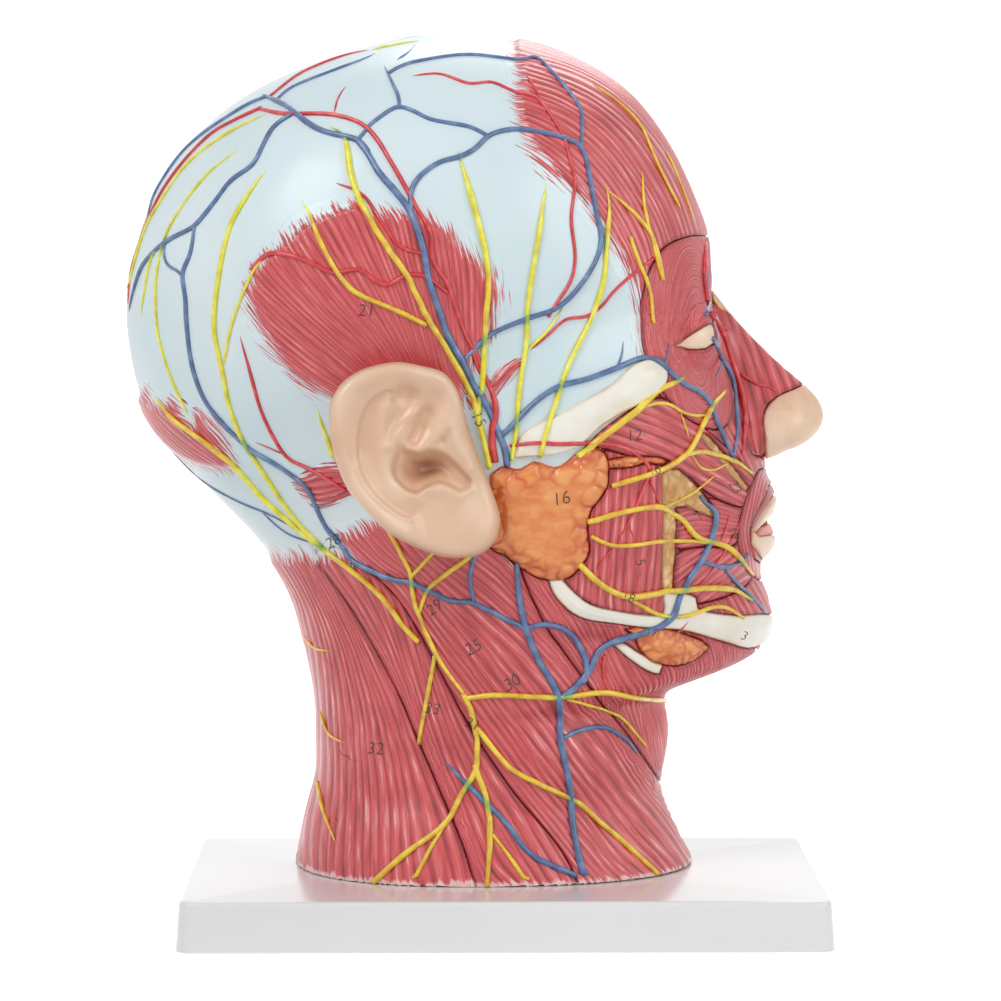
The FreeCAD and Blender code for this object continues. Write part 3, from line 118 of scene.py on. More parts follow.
def new_material(name, roughness, coat=0.0, **inputs):
    """A material with one shader, and its tree."""
    made = bpy.data.materials.new(name)
    made.use_nodes = True
    made.node_tree.nodes.clear()
    tree = made.node_tree
    shader = add(tree, "ShaderNodeBsdfPrincipled", {"Roughness": roughness, "Coat Weight": coat})
    shader.inputs["Coat Roughness"].default_value = 0.12
    for key, value in inputs.items():
        shader.inputs[key.replace("_", " ")].default_value = value
    out = add(tree, "ShaderNodeOutputMaterial", {"Surface": shader.outputs["BSDF"]})
    return made, tree, shader


def white_to_camera(tree, strength):
    """A glow that only the camera and reflections see, for a white backdrop."""
    path = add(tree, "ShaderNodeLightPath")
    seen = add(tree, "ShaderNodeMath", {0: path.outputs["Is Camera Ray"],
                                        1: path.outputs["Is Glossy Ray"]}, operation="MAXIMUM")
    return add(tree, "ShaderNodeMath", {0: seen.outputs[0], 1: strength}, operation="MULTIPLY")


FLOOR_HALF = 2.2
floor_mesh = bmesh.new()
bmesh.ops.create_grid(floor_mesh, x_segments=2, y_segments=2, size=FLOOR_HALF)
back_edges = [e for e in floor_mesh.edges if all(v.co.y > FLOOR_HALF - 0.01 for v in e.verts)]
raised = bmesh.ops.extrude_edge_only(floor_mesh, edges=back_edges)
wall = [v for v in raised["geom"] if isinstance(v, bmesh.types.BMVert)]
bmesh.ops.translate(floor_mesh, verts=wall, vec=(0, 0.6, 0.12))
raised = bmesh.ops.extrude_edge_only(
    floor_mesh, edges=[e for e in raised["geom"] if isinstance(e, bmesh.types.BMEdge)])
wall = [v for v in raised["geom"] if isinstance(v, bmesh.types.BMVert)]
bmesh.ops.translate(floor_mesh, verts=wall, vec=(0, 0.15, 2.4))
bmesh.ops.translate(floor_mesh, verts=floor_mesh.verts, vec=(0, 0, -0.0004))
floor_data = bpy.data.meshes.new("studio_floor")
floor_mesh.to_mesh(floor_data)
floor = bpy.data.objects.new("studio_floor", floor_data)
bpy.context.scene.collection.objects.link(floor)
paper, tree, shader = new_material("studio_paper", 0.7, Specular_IOR_Level=0.1)
shader.inputs["Base Color"].default_value = (0.86, 0.86, 0.86, 1)
grain = add(tree, "ShaderNodeTexNoise", {"Scale": 90.0, "Detail": 3.0})
bump = add(tree, "ShaderNodeBump", {"Height": grain.outputs["Fac"], "Strength": 0.02})
tree.links.new(bump.outputs["Normal"], shader.inputs["Normal"])
glow = white_to_camera(tree, 0.8)
shader.inputs["Emission Color"].default_value = (1, 1, 1, 1)
tree.links.new(glow.outputs[0], shader.inputs["Emission Strength"])
floor_data.materials.append(paper)

world = bpy.data.worlds.new("studio")
bpy.context.scene.world = world
world.use_nodes = True
sky = world.node_tree.nodes["Background"]
sky.inputs["Color"].default_value = (1, 1, 1, 1)
glow = white_to_camera(world.node_tree, 0.9)
fill = add(world.node_tree, "ShaderNodeMath", {0: glow.outputs[0], 1: 0.38}, operation="ADD")
world.node_tree.links.new(fill.outputs[0], sky.inputs["Strength"])

for name, place, power, breadth in (
    ("key_lamp", (-0.9, -1.3, 1.5), 18, 0.9),
    ("side_lamp", (1.3, -0.9, 0.7), 7.5, 0.9),
    ("rim_lamp", (0.3, 1.3, 1.4), 9, 1.0),
):
    lamp_data = bpy.data.lights.new(name, "AREA")
    lamp_data.energy = power
    lamp_data.size = breadth
    lamp = bpy.data.objects.new(name, lamp_data)
    lamp.location = place
    aim = Vector((0, 0, 0.16)) - Vector(place)
    lamp.rotation_euler = aim.to_track_quat("-Z", "Y").to_euler()
    bpy.context.scene.collection.objects.link(lamp)
bpy.context.scene.view_settings.view_transform = "Standard"

# The head casting: a thin-walled vinyl half head, sprayed pale blue where the scalp
# and the fascia show. Its skin is taken from the solid, remade as an even mesh and
# pressed into the small hollows and swellings of a face.
nodes = frame["nodes"]
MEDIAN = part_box("median_section")[1].y
CASTING_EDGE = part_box("head_shell")[1].y
NECK_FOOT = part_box("head_shell")[0].z
MM = 0.001
PX = 0.335 * MM


def copy_of(name):
    """A node's mesh with its loose triangles joined, as a bmesh."""
    mesh = bmesh.new()
    mesh.from_mesh(nodes[name].data)
    bmesh.ops.remove_doubles(mesh, verts=mesh.verts, dist=0.01 * MM)
    return mesh


def copies_of(*names):
    """Several nodes' meshes in one bmesh."""
    whole = bmesh.new()
    for name in names:
        mesh = copy_of(name)
        data = bpy.data.meshes.new(name)
        mesh.to_mesh(data)
        mesh.free()
        whole.from_mesh(data)
    return whole


def finish_piece(mesh, name, paint, slot, *replaced, body="head"):
    """Make a piece of a bmesh, paint it and hide the nodes it replaces."""
    data = bpy.data.meshes.new(name)
    mesh.to_mesh(data)
    mesh.free()
    data.materials.append(paint)
    data.polygons.foreach_set("use_smooth", [True] * len(data.polygons))
    piece = bpy.data.objects.new(name, data)
    bpy.context.scene.collection.objects.link(piece)
    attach(piece, body)
    if replaced:
        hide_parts(*replaced)
    return piece


def even_mesh(mesh, spacing):
    """The same closed solids as one even mesh of squares."""
    data = bpy.data.meshes.new("even")
    mesh.to_mesh(data)
    mesh.free()
    helper = bpy.data.objects.new("even", data)
    bpy.context.scene.collection.objects.link(helper)
    remesh = helper.modifiers.new("even", "REMESH")
    remesh.mode = "VOXEL"
    remesh.voxel_size = spacing
    graph = bpy.context.evaluated_depsgraph_get()
    made = bmesh.new()
    evened = bpy.data.meshes.new_from_object(helper.evaluated_get(graph))
    made.from_mesh(evened)
    bpy.data.objects.remove(helper)
    bpy.data.meshes.remove(evened)
    return made


def outer_faces(mesh, seed):
    """The faces reached from a seed face without crossing a sharp edge."""
    found, ahead = {seed}, [seed]
    while ahead:
        for edge in ahead.pop().edges:
            if len(edge.link_faces) == 2 and edge.calc_face_angle() < math.radians(50):
                for face in edge.link_faces:
                    if face not in found:
                        found.add(face)
                        ahead.append(face)
    return found


def whole_core():
    """The half head as a closed solid: the casting's skin, brought to the flat side."""
    core = copy_of("head_shell")
    core.faces.ensure_lookup_table()
    seed = min(core.faces, key=lambda face: face.calc_center_median().y)
    skin = outer_faces(core, seed)
    bmesh.ops.delete(core, geom=[f for f in core.faces if f not in skin], context="FACES")
    rim = [e for e in core.edges if e.is_boundary
           and all(v.co.y > CASTING_EDGE - 0.1 * MM for v in e.verts)]
    lip = bmesh.ops.extrude_edge_only(core, edges=rim)["geom"]
    bmesh.ops.translate(core, verts=[v for v in lip if isinstance(v, bmesh.types.BMVert)],
                        vec=(0, MEDIAN - CASTING_EDGE, 0))
    bmesh.ops.remove_doubles(core, verts=core.verts, dist=0.01 * MM)
    flat = [e for e in core.edges if e.is_boundary
            and all(v.co.y > MEDIAN - 0.1 * MM for v in e.verts)]
    ends = [v for v in {v for e in flat for v in e.verts}
            if sum(e in flat for e in v.link_edges) == 1]
    bridge = core.edges.new(ends)
    bmesh.ops.contextual_create(core, geom=flat + [bridge])
    foot = [e for e in core.edges if e.is_boundary]
    bmesh.ops.contextual_create(core, geom=foot)
    bmesh.ops.triangulate(core, faces=[f for f in core.faces if len(f.verts) > 4])
    bmesh.ops.recalc_face_normals(core, faces=core.faces)
    return core


def skin_sheet(mesh, spacing):
    """The outer skin alone, as an even sheet that ends at the flat side and the foot."""
    sheet = even_mesh(mesh, spacing)
    for place, facing in (((0, MEDIAN - 0.4 * spacing, 0), (0, 1, 0)),
                          ((0, 0, NECK_FOOT + 0.4 * spacing), (0, 0, -1))):
        bmesh.ops.bisect_plane(sheet, geom=sheet.verts[:] + sheet.edges[:] + sheet.faces[:],
                               plane_co=place, plane_no=facing, clear_outer=True)
    for turn in range(3):
        inner = [v for v in sheet.verts if not v.is_boundary]
        bmesh.ops.smooth_vert(sheet, verts=inner, factor=0.5, use_axis_x=True,
                              use_axis_y=True, use_axis_z=True)
    return sheet


def read(mesh):
    """Points and outward directions of a bmesh, as arrays."""
    mesh.normal_update()
    points = np.array([v.co for v in mesh.verts])
    return points, np.array([v.normal for v in mesh.verts])


def write(mesh, points):
    """Put a bmesh's points in place."""
    for vert, point in zip(mesh.verts, points):
        vert.co = point
    mesh.normal_update()


# The face's forms: middle in pixels, reach across and down, height in millimetres
FACE_FORMS = [
    ((688, 312), (24, 20), 1.8), ((700, 338), (14, 12), 1.0), ((712, 300), (9, 16), -1.8),
    ((711, 268), (10, 22), -1.0), ((718, 322), (7, 22), -1.4), ((770, 474), (14, 11), -1.1),
    ((772, 520), (11, 5), -1.1), ((764, 561), (13, 9), -1.2), ((796, 424), (12, 15), 0.7),
    ((790, 450), (18, 5), -0.6),
    ((668, 345), (16, 20), -0.8), ((650, 372), (34, 14), 0.9), ((735, 425), (14, 46), -1.2),
    ((700, 380), (24, 16), -0.7), ((690, 500), (22, 50), -0.8), ((742, 600), (22, 16), 1.2),
    ((600, 640), (60, 10), -1.0), ((470, 600), (40, 60), 0.8),
    ((360, 640), (18, 60), -1.0), ((640, 520), (30, 70), 0.6), ((575, 650), (26, 34), -1.4),
]


def pressed(points, outward):
    """Points of the skin, pressed into the face's forms."""
    px = pixels_of(points)
    height = np.zeros(len(points))
    for middle, reach, rise in FACE_FORMS:
        away = (px - middle) / reach
        height += rise * MM * np.exp(-(away ** 2).sum(1))
    return points + outward * height[:, None]


CASTING_SPACING = 1.5 * MM
casting = skin_sheet(whole_core(), CASTING_SPACING)
write(casting, pressed(*read(casting)))
bmesh.ops.bisect_plane(casting, geom=casting.verts[:] + casting.edges[:] + casting.faces[:],
                       plane_co=(0, CASTING_EDGE, 0), plane_no=(0, 1, 0), clear_outer=True)


def scalp_colour(tree):
    """The casting's pale blue spray, cloudy and a little worn."""
    place = add(tree, "ShaderNodeTexCoord")
    clouds = add(tree, "ShaderNodeTexNoise", {"Vector": place.outputs["Object"],
                                              "Scale": 14.0, "Detail": 3.0})
    ramp = add(tree, "ShaderNodeValToRGB", {"Fac": clouds.outputs["Fac"]})
    ramp.color_ramp.elements[0].position = 0.3
    ramp.color_ramp.elements[0].color = linear(198, 219, 226)
    ramp.color_ramp.elements[1].position = 0.75
    ramp.color_ramp.elements[1].color = linear(222, 235, 238)
    return ramp.outputs["Color"]


scalp_paint, tree, shader = new_material("scalp_vinyl", 0.42, 0.15)
tree.links.new(scalp_colour(tree), shader.inputs["Base Color"])
place = add(tree, "ShaderNodeTexCoord")
pores = add(tree, "ShaderNodeTexNoise", {"Vector": place.outputs["Object"], "Scale": 700.0})
bump = add(tree, "ShaderNodeBump", {"Height": pores.outputs["Fac"], "Strength": 0.06,
                                    "Distance": 0.0004})
tree.links.new(bump.outputs["Normal"], shader.inputs["Normal"])

bmesh.ops.solidify(casting, geom=casting.faces[:], thickness=3.2 * MM)
finish_piece(casting, "scalp_casting", scalp_paint, "scalp_vinyl", "head_shell")

# The relief of the outer side: every muscle, bone and gland is a low pad moulded on the
# casting, with a groove to its neighbours. The fine skin they stand on is an even sheet,
# and their outlines are read from the photograph. Of two that overlap, the first named
# lies on top.
OUTLINES = {
    "zygomatic_arch": [
        (512, 458), (518, 442), (526, 430), (560, 414), (586, 399), (612, 384), (632, 366),
        (650, 360), (664, 366), (664, 384), (650, 398), (632, 408), (604, 424), (578, 446),
        (556, 454), (534, 456)],
    "parotid_gland": [
        (490, 475), (502, 466), (520, 469), (534, 461), (548, 466), (560, 466), (578, 452),
        (593, 446), (604, 453), (608, 468), (606, 488), (598, 500), (590, 511), (587, 530),
        (589, 551), (579, 567), (569, 577), (556, 579), (540, 578), (520, 567), (503, 554),
        (488, 545), (494, 520), (490, 498)],
    "mandible": [
        (548, 578), (560, 578), (574, 592), (590, 604), (616, 610), (642, 614), (662, 612),
        (662, 592), (681, 592), (694, 597), (696, 608), (712, 613), (738, 615), (758, 614),
        (772, 617), (772, 630), (762, 641), (745, 647), (721, 641), (681, 630), (644, 627),
        (611, 622), (585, 618), (567, 609), (553, 593)],
    "submandibular_gland": [
        (624, 628), (634, 636), (638, 648), (652, 661), (676, 665), (697, 656), (706, 646),
        (700, 640), (672, 630), (646, 626)],
    "hyoid_bone": [
        (612, 644), (622, 642), (634, 650), (650, 659), (662, 664), (658, 673), (646, 670),
        (628, 658)],
    "vermilion": [
        (754, 534), (758, 528), (766, 524), (790, 523), (790, 534), (772, 535), (765, 536),
        (757, 537)],
    "lip_border": [
        (766, 487), (774, 482), (795, 480), (795, 491), (775, 492), (764, 508), (756, 521),
        (751, 529), (748, 527), (751, 517), (756, 508), (761, 499)],
    "upper_lip": [
        (775, 491), (795, 488), (795, 522), (766, 521), (758, 527), (753, 533), (750, 530),
        (754, 520), (763, 509), (769, 501)],
    "lower_lip": [
        (750, 529), (757, 534), (795, 532), (795, 552), (775, 550), (768, 557), (761, 560),
        (756, 552), (750, 545)],
    "gland_duct": [
        (600, 461), (622, 457), (646, 456), (657, 457), (668, 461), (659, 465), (646, 463),
        (628, 467), (602, 468)],
    "cheek_fat_upper": [
        (661, 474), (668, 469), (677, 469), (690, 480), (698, 488), (708, 502), (714, 514),
        (712, 518), (703, 514), (694, 511), (686, 506), (674, 508), (662, 507)],
    "cheek_fat_lower": [
        (662, 505), (674, 506), (675, 540), (673, 573), (671, 591), (662, 591), (661, 550)],
    "cheek_fat_strip": [
        (699, 434), (704, 433), (714, 443), (726, 458), (736, 472), (747, 486), (745, 492),
        (738, 485), (726, 471), (716, 457), (706, 446)],
    "eyelid": [
        (674, 346), (689, 336), (709, 324), (712, 330), (712, 343), (704, 348), (688, 349)],
    "nose_tip": [
        (812, 382), (794, 390), (776, 398), (765, 411), (763, 424), (765, 440), (764, 454),
        (770, 470), (800, 474), (850, 450), (850, 390)],
    "nasal_muscle": [
        (711, 293), (718, 288), (760, 284), (830, 340), (850, 395), (812, 384), (792, 392),
        (774, 400), (764, 413), (764, 450), (752, 456), (742, 440), (736, 410), (724, 370),
        (713, 346), (710, 320)],
    "orbicularis_oculi": [
        (640, 305), (646, 275), (660, 250), (684, 238), (712, 236), (760, 232), (760, 330),
        (716, 350), (722, 366), (730, 400), (726, 424), (712, 430),
        (690, 422), (668, 402), (652, 376), (642, 345)],
    "frontalis": [
        (512, 53), (517, 76), (514, 98), (521, 130), (534, 156), (568, 188), (590, 212),
        (608, 238), (624, 268), (634, 288), (640, 330), (646, 366), (664, 400), (700, 380),
        (712, 330), (760, 280), (760, 160), (680, 70), (590, 10), (515, 10)],
    "masseter": [
        (590, 462), (604, 450), (640, 460), (663, 470), (667, 520), (665, 592), (664, 616),
        (610, 610), (574, 592), (560, 560), (578, 500)],
    "mouth_ring": [
        (768, 468), (790, 474), (775, 488), (766, 506), (756, 520), (748, 526), (748, 540),
        (750, 552), (757, 562), (790, 566), (764, 582), (748, 574), (739, 556), (735, 540),
        (737, 520), (743, 500), (750, 482), (756, 470)],
    "zygomatic_muscles": [
        (580, 452), (604, 428), (640, 404), (664, 399), (694, 422), (716, 440), (738, 462),
        (752, 484), (744, 506), (722, 502), (702, 490), (690, 478), (664, 466), (640, 462),
        (615, 452), (600, 448)],
    "cheek_muscle": [
        (672, 508), (700, 498), (722, 500), (744, 506), (738, 530), (732, 546), (700, 547),
        (672, 546)],
    "mouth_depressor": [
        (736, 542), (742, 556), (749, 574), (738, 590), (704, 602), (672, 602), (672, 560),
        (690, 546), (716, 545)],
    "chin_muscle": [
        (748, 572), (790, 580), (790, 622), (740, 620), (698, 616), (698, 600), (738, 588)],
    "face_muscles": [
        (600, 450), (622, 420), (645, 398), (660, 380), (700, 350), (720, 262), (760, 262),
        (860, 330), (860, 420), (800, 520), (800, 640), (740, 644), (690, 620), (640, 620),
        (640, 500), (600, 470)],
    "temporalis": [
        (333, 400), (309, 388), (287, 371), (266, 341), (255, 320), (248, 299), (252, 272),
        (270, 253), (287, 237), (304, 222), (328, 211), (357, 203), (368, 211), (403, 211),
        (437, 221), (456, 237), (474, 255), (495, 277), (503, 293), (495, 317), (488, 340),
        (478, 352), (472, 380), (450, 420), (400, 430), (350, 420)],
    "occipitalis": [
        (147, 388), (152, 399), (163, 405), (171, 400), (180, 404), (192, 424), (196, 413),
        (215, 420), (226, 442), (237, 468), (220, 470), (190, 464), (165, 448), (145, 424),
        (130, 400)],
    "posterior_auricular": [
        (291, 483), (304, 472), (328, 462), (352, 462), (358, 490), (322, 509), (306, 501)],
    "anterior_auricular": [
        (489, 390), (494, 373), (512, 359), (522, 358), (519, 372), (504, 388), (494, 398)],
    "superior_auricular": [
        (461, 390), (468, 386), (476, 396), (488, 392), (494, 400), (490, 409), (478, 406),
        (470, 411)],
    "sternocleidomastoid": [
        (353, 563), (345, 550), (337, 540), (341, 533), (352, 530), (366, 524), (384, 517),
        (400, 508), (430, 508), (488, 514), (514, 552), (526, 585), (548, 630), (582, 678),
        (614, 720), (646, 765), (684, 826), (720, 880), (720, 960), (610, 960), (566, 860),
        (512, 790), (468, 722), (430, 650), (402, 602), (373, 572)],
    "trapezius": [
        (240, 545), (271, 551), (287, 556), (306, 551), (318, 560), (345, 596), (370, 636),
        (398, 690), (417, 735), (440, 790), (470, 870), (480, 960), (240, 960), (240, 760),
        (255, 640)],
    "splenius": [
        (271, 564), (287, 565), (306, 562), (320, 556), (338, 552), (358, 557), (400, 540),
        (430, 530), (450, 570), (480, 650), (530, 740), (580, 800), (640, 960), (400, 960),
        (380, 780), (330, 640)],
    "throat_muscles": [
        (480, 545), (556, 576), (590, 600), (640, 615), (720, 625), (800, 640), (780, 700),
        (740, 704), (730, 760), (730, 960), (660, 960), (600, 820), (540, 720), (490, 640)],
}
FAR_PX = 24
LEVEL = list(OUTLINES)


def smooth_line(line_px, step):
    """A given line of pixels as a smooth line with short steps."""
    points = np.array(line_px, float)
    before = np.vstack([2 * points[0] - points[1], points, 2 * points[-1] - points[-2]])
    made = []
    for a, b, c, d in zip(before, before[1:], before[2:], before[3:]):
        count = max(1, int(np.hypot(*(c - b)) / step))
        for part in range(count):
            k = part / count
            made.append(0.5 * (2 * b + (c - a) * k + (2 * a - 5 * b + 4 * c - d) * k ** 2
                               + (3 * b - a - 3 * c + d) * k ** 3))
    made.append(points[-1])
    return np.array(made)


def inside(px, outline):
    """How far pixels lie inside an outline, in metres; outside is negative."""
    ring = smooth_line(outline + [outline[0]], 6)
    close = ((px > ring.min(0) - FAR_PX) & (px < ring.max(0) + FAR_PX)).all(1)
    x, y = px[close].T
    near = np.full(len(x), 1e9)
    odd = np.zeros(len(x), bool)
    for (ax, ay), (bx, by) in zip(ring, ring[1:]):
        run_x, run_y = bx - ax, by - ay
        share = ((x - ax) * run_x + (y - ay) * run_y) / (run_x ** 2 + run_y ** 2 + 1e-9)
        share = np.minimum(np.maximum(share, 0), 1)
        near = np.minimum(near, (x - ax - share * run_x) ** 2 + (y - ay - share * run_y) ** 2)
        if ay != by:
            odd ^= ((ay > y) != (by > y)) & (x < ax + run_x * (y - ay) / run_y)
    made = np.full(len(px), -float(FAR_PX))
    made[close] = np.where(odd, 1, -1) * np.sqrt(near)
    return made * PX


def ramp_up(value, width):
    """Rises smoothly from 0 to 1 over a width."""
    share = np.clip(value / width, 0, 1)
    return share * share * (3 - 2 * share)


FINE_SPACING = 0.85 * MM
face = whole_core()
forms = bpy.data.meshes.new("face_forms")
copies_of("nose_tip", "nasal_muscle", "eyelid").to_mesh(forms)
face.from_mesh(forms)
sheet = skin_sheet(face, FINE_SPACING)
write(sheet, pressed(*read(sheet)))
bmesh.ops.bisect_plane(sheet, geom=sheet.verts[:] + sheet.edges[:] + sheet.faces[:],
                       plane_co=(0, CASTING_EDGE, 0), plane_no=(0, 1, 0), clear_outer=True)
sheet_tree = BVHTree.FromBMesh(sheet)
sheet_data = bpy.data.meshes.new("sheet")
sheet.to_mesh(sheet_data)
sheet_px = pixels_of(read(sheet)[0])
sheet_corners = np.array([v.index for f in sheet.faces for v in f.verts])
sheet_starts = np.cumsum([0] + [len(f.verts) for f in sheet.faces])[:-1]
within = {name: inside(sheet_px, outline) for name, outline in OUTLINES.items()}
COVER = 1.4 * MM
ROOT = 1.0 * MM
BANK = 0.95 * MM
SHARP = math.radians(55)
THINNING = 8


def skin_patch(name, reach, cuts=0):
    """The part of the fine sheet in and around one outline."""
    on_top = np.full(len(sheet_px), -1.0)
    for other in LEVEL[:LEVEL.index(name)]:
        on_top = np.maximum(on_top, within[other])
    keep = (within[name] > -reach) & (on_top < COVER)
    mesh = bmesh.new()
    mesh.from_mesh(sheet_data)
    whole = np.logical_and.reduceat(keep[sheet_corners], sheet_starts)
    gone = [f for f, stays in zip(mesh.faces, whole) if not stays]
    bmesh.ops.delete(mesh, geom=gone, context="FACES")
    if cuts:
        bmesh.ops.subdivide_edges(mesh, edges=mesh.edges[:], cuts=cuts, use_grid_fill=True)
    return mesh


def edges_of(name, px, feather):
    """Distances inside the part's free outline, and to the nearest bare casting."""
    own = inside(px, OUTLINES[name])
    others = np.full(len(px), -1.0)
    on_top = others.copy()
    for other in LEVEL:
        if other != name:
            value = inside(px, OUTLINES[other])
            others = np.maximum(others, value)
            if LEVEL.index(other) < LEVEL.index(name):
                on_top = np.maximum(on_top, value)
    free = 1 - ramp_up(others + 2 * MM, 2 * MM)
    return np.minimum(own + feather * free, -on_top), np.maximum(own, others)


def close_pad(mesh, outward, rise):
    """Raise a patch of skin by each point's height and close it underneath, where it
    rests on the casting and needs few faces."""
    below = mesh.verts.layers.float_vector.new("below")
    for vert, direction, height in zip(mesh.verts, outward, rise):
        vert[below] = Vector(direction) * -(height + ROOT)
        vert.co += Vector(direction) * height
    made = bmesh.ops.extrude_face_region(mesh, geom=mesh.faces[:])["geom"]
    under = {part for part in made if isinstance(part, bmesh.types.BMFace)}
    inner = []
    for vert in made:
        if isinstance(vert, bmesh.types.BMVert):
            vert.co += vert[below]
            if under.issuperset(vert.link_faces):
                inner.append(vert)
    bmesh.ops.unsubdivide(mesh, verts=inner, iterations=THINNING)
    mesh.verts.layers.float_vector.remove(below)
    bmesh.ops.recalc_face_normals(mesh, faces=mesh.faces)
    for edge in mesh.edges:
        if len(edge.link_faces) == 2 and edge.calc_face_angle() > SHARP:
            edge.smooth = False


def note(mesh, name, *values):
    """Write up to three numbers per point for the materials to read."""
    layer = mesh.verts.layers.float_vector.new(name)
    columns = list(values) + [np.zeros(len(mesh.verts))] * (3 - len(values))
    for vert, value in zip(mesh.verts, np.stack(columns, 1)):
        vert[layer] = value


def bank(edge, relief):
    """A pad's height over the skin, from how far a point is inside its outline."""
    return (relief + ROOT * 0.8) * ramp_up(edge + 0.5 * BANK, BANK) - ROOT * 0.8


def noted(tree, name):
    """The three numbers of a note, as outputs."""
    read_note = add(tree, "ShaderNodeAttribute", attribute_name=name)
    parts = add(tree, "ShaderNodeSeparateXYZ", {"Vector": read_note.outputs["Vector"]})
    return [parts.outputs[axis] for axis in "XYZ"]


def maths(tree, operation, *values):
    """One step of arithmetic in a node tree."""
    return add(tree, "ShaderNodeMath", dict(enumerate(values)), operation=operation).outputs[0]


def colours(tree, factor, *stops):
    """A colour ramp: each stop is a place and a colour as it is seen."""
    ramp = add(tree, "ShaderNodeValToRGB", {"Fac": factor})
    ends = ramp.color_ramp.elements
    while len(ends) < len(stops):
        ends.new(0.5)
    for end, (place, colour) in zip(ends, sorted(stops)):
        end.position = place
        end.color = linear(*colour)
    return ramp.outputs["Color"]


def mixed(tree, factor, first, second, blend="MIX"):
    """Two colours mixed by a factor."""
    mix = add(tree, "ShaderNodeMix", data_type="RGBA", blend_type=blend)
    for key, value in ((0, factor), (6, first), (7, second)):
        if isinstance(value, bpy.types.NodeSocket):
            tree.links.new(value, mix.inputs[key])
        else:
            mix.inputs[key].default_value = value
    return mix.outputs[2]


def cloud(tree, scale, detail=3.0, vector=None):
    """Noise in the model's own coordinates."""
    if vector is None:
        vector = add(tree, "ShaderNodeTexCoord").outputs["Object"]
    return add(tree, "ShaderNodeTexNoise",
               {"Vector": vector, "Scale": scale, "Detail": detail}).outputs["Fac"]


def roughen(tree, shader, height, strength, distance):
    """Fine relief by a bump."""
    bump = add(tree, "ShaderNodeBump", {"Height": height, "Strength": strength,
                                        "Distance": distance})
    tree.links.new(bump.outputs["Normal"], shader.inputs["Normal"])


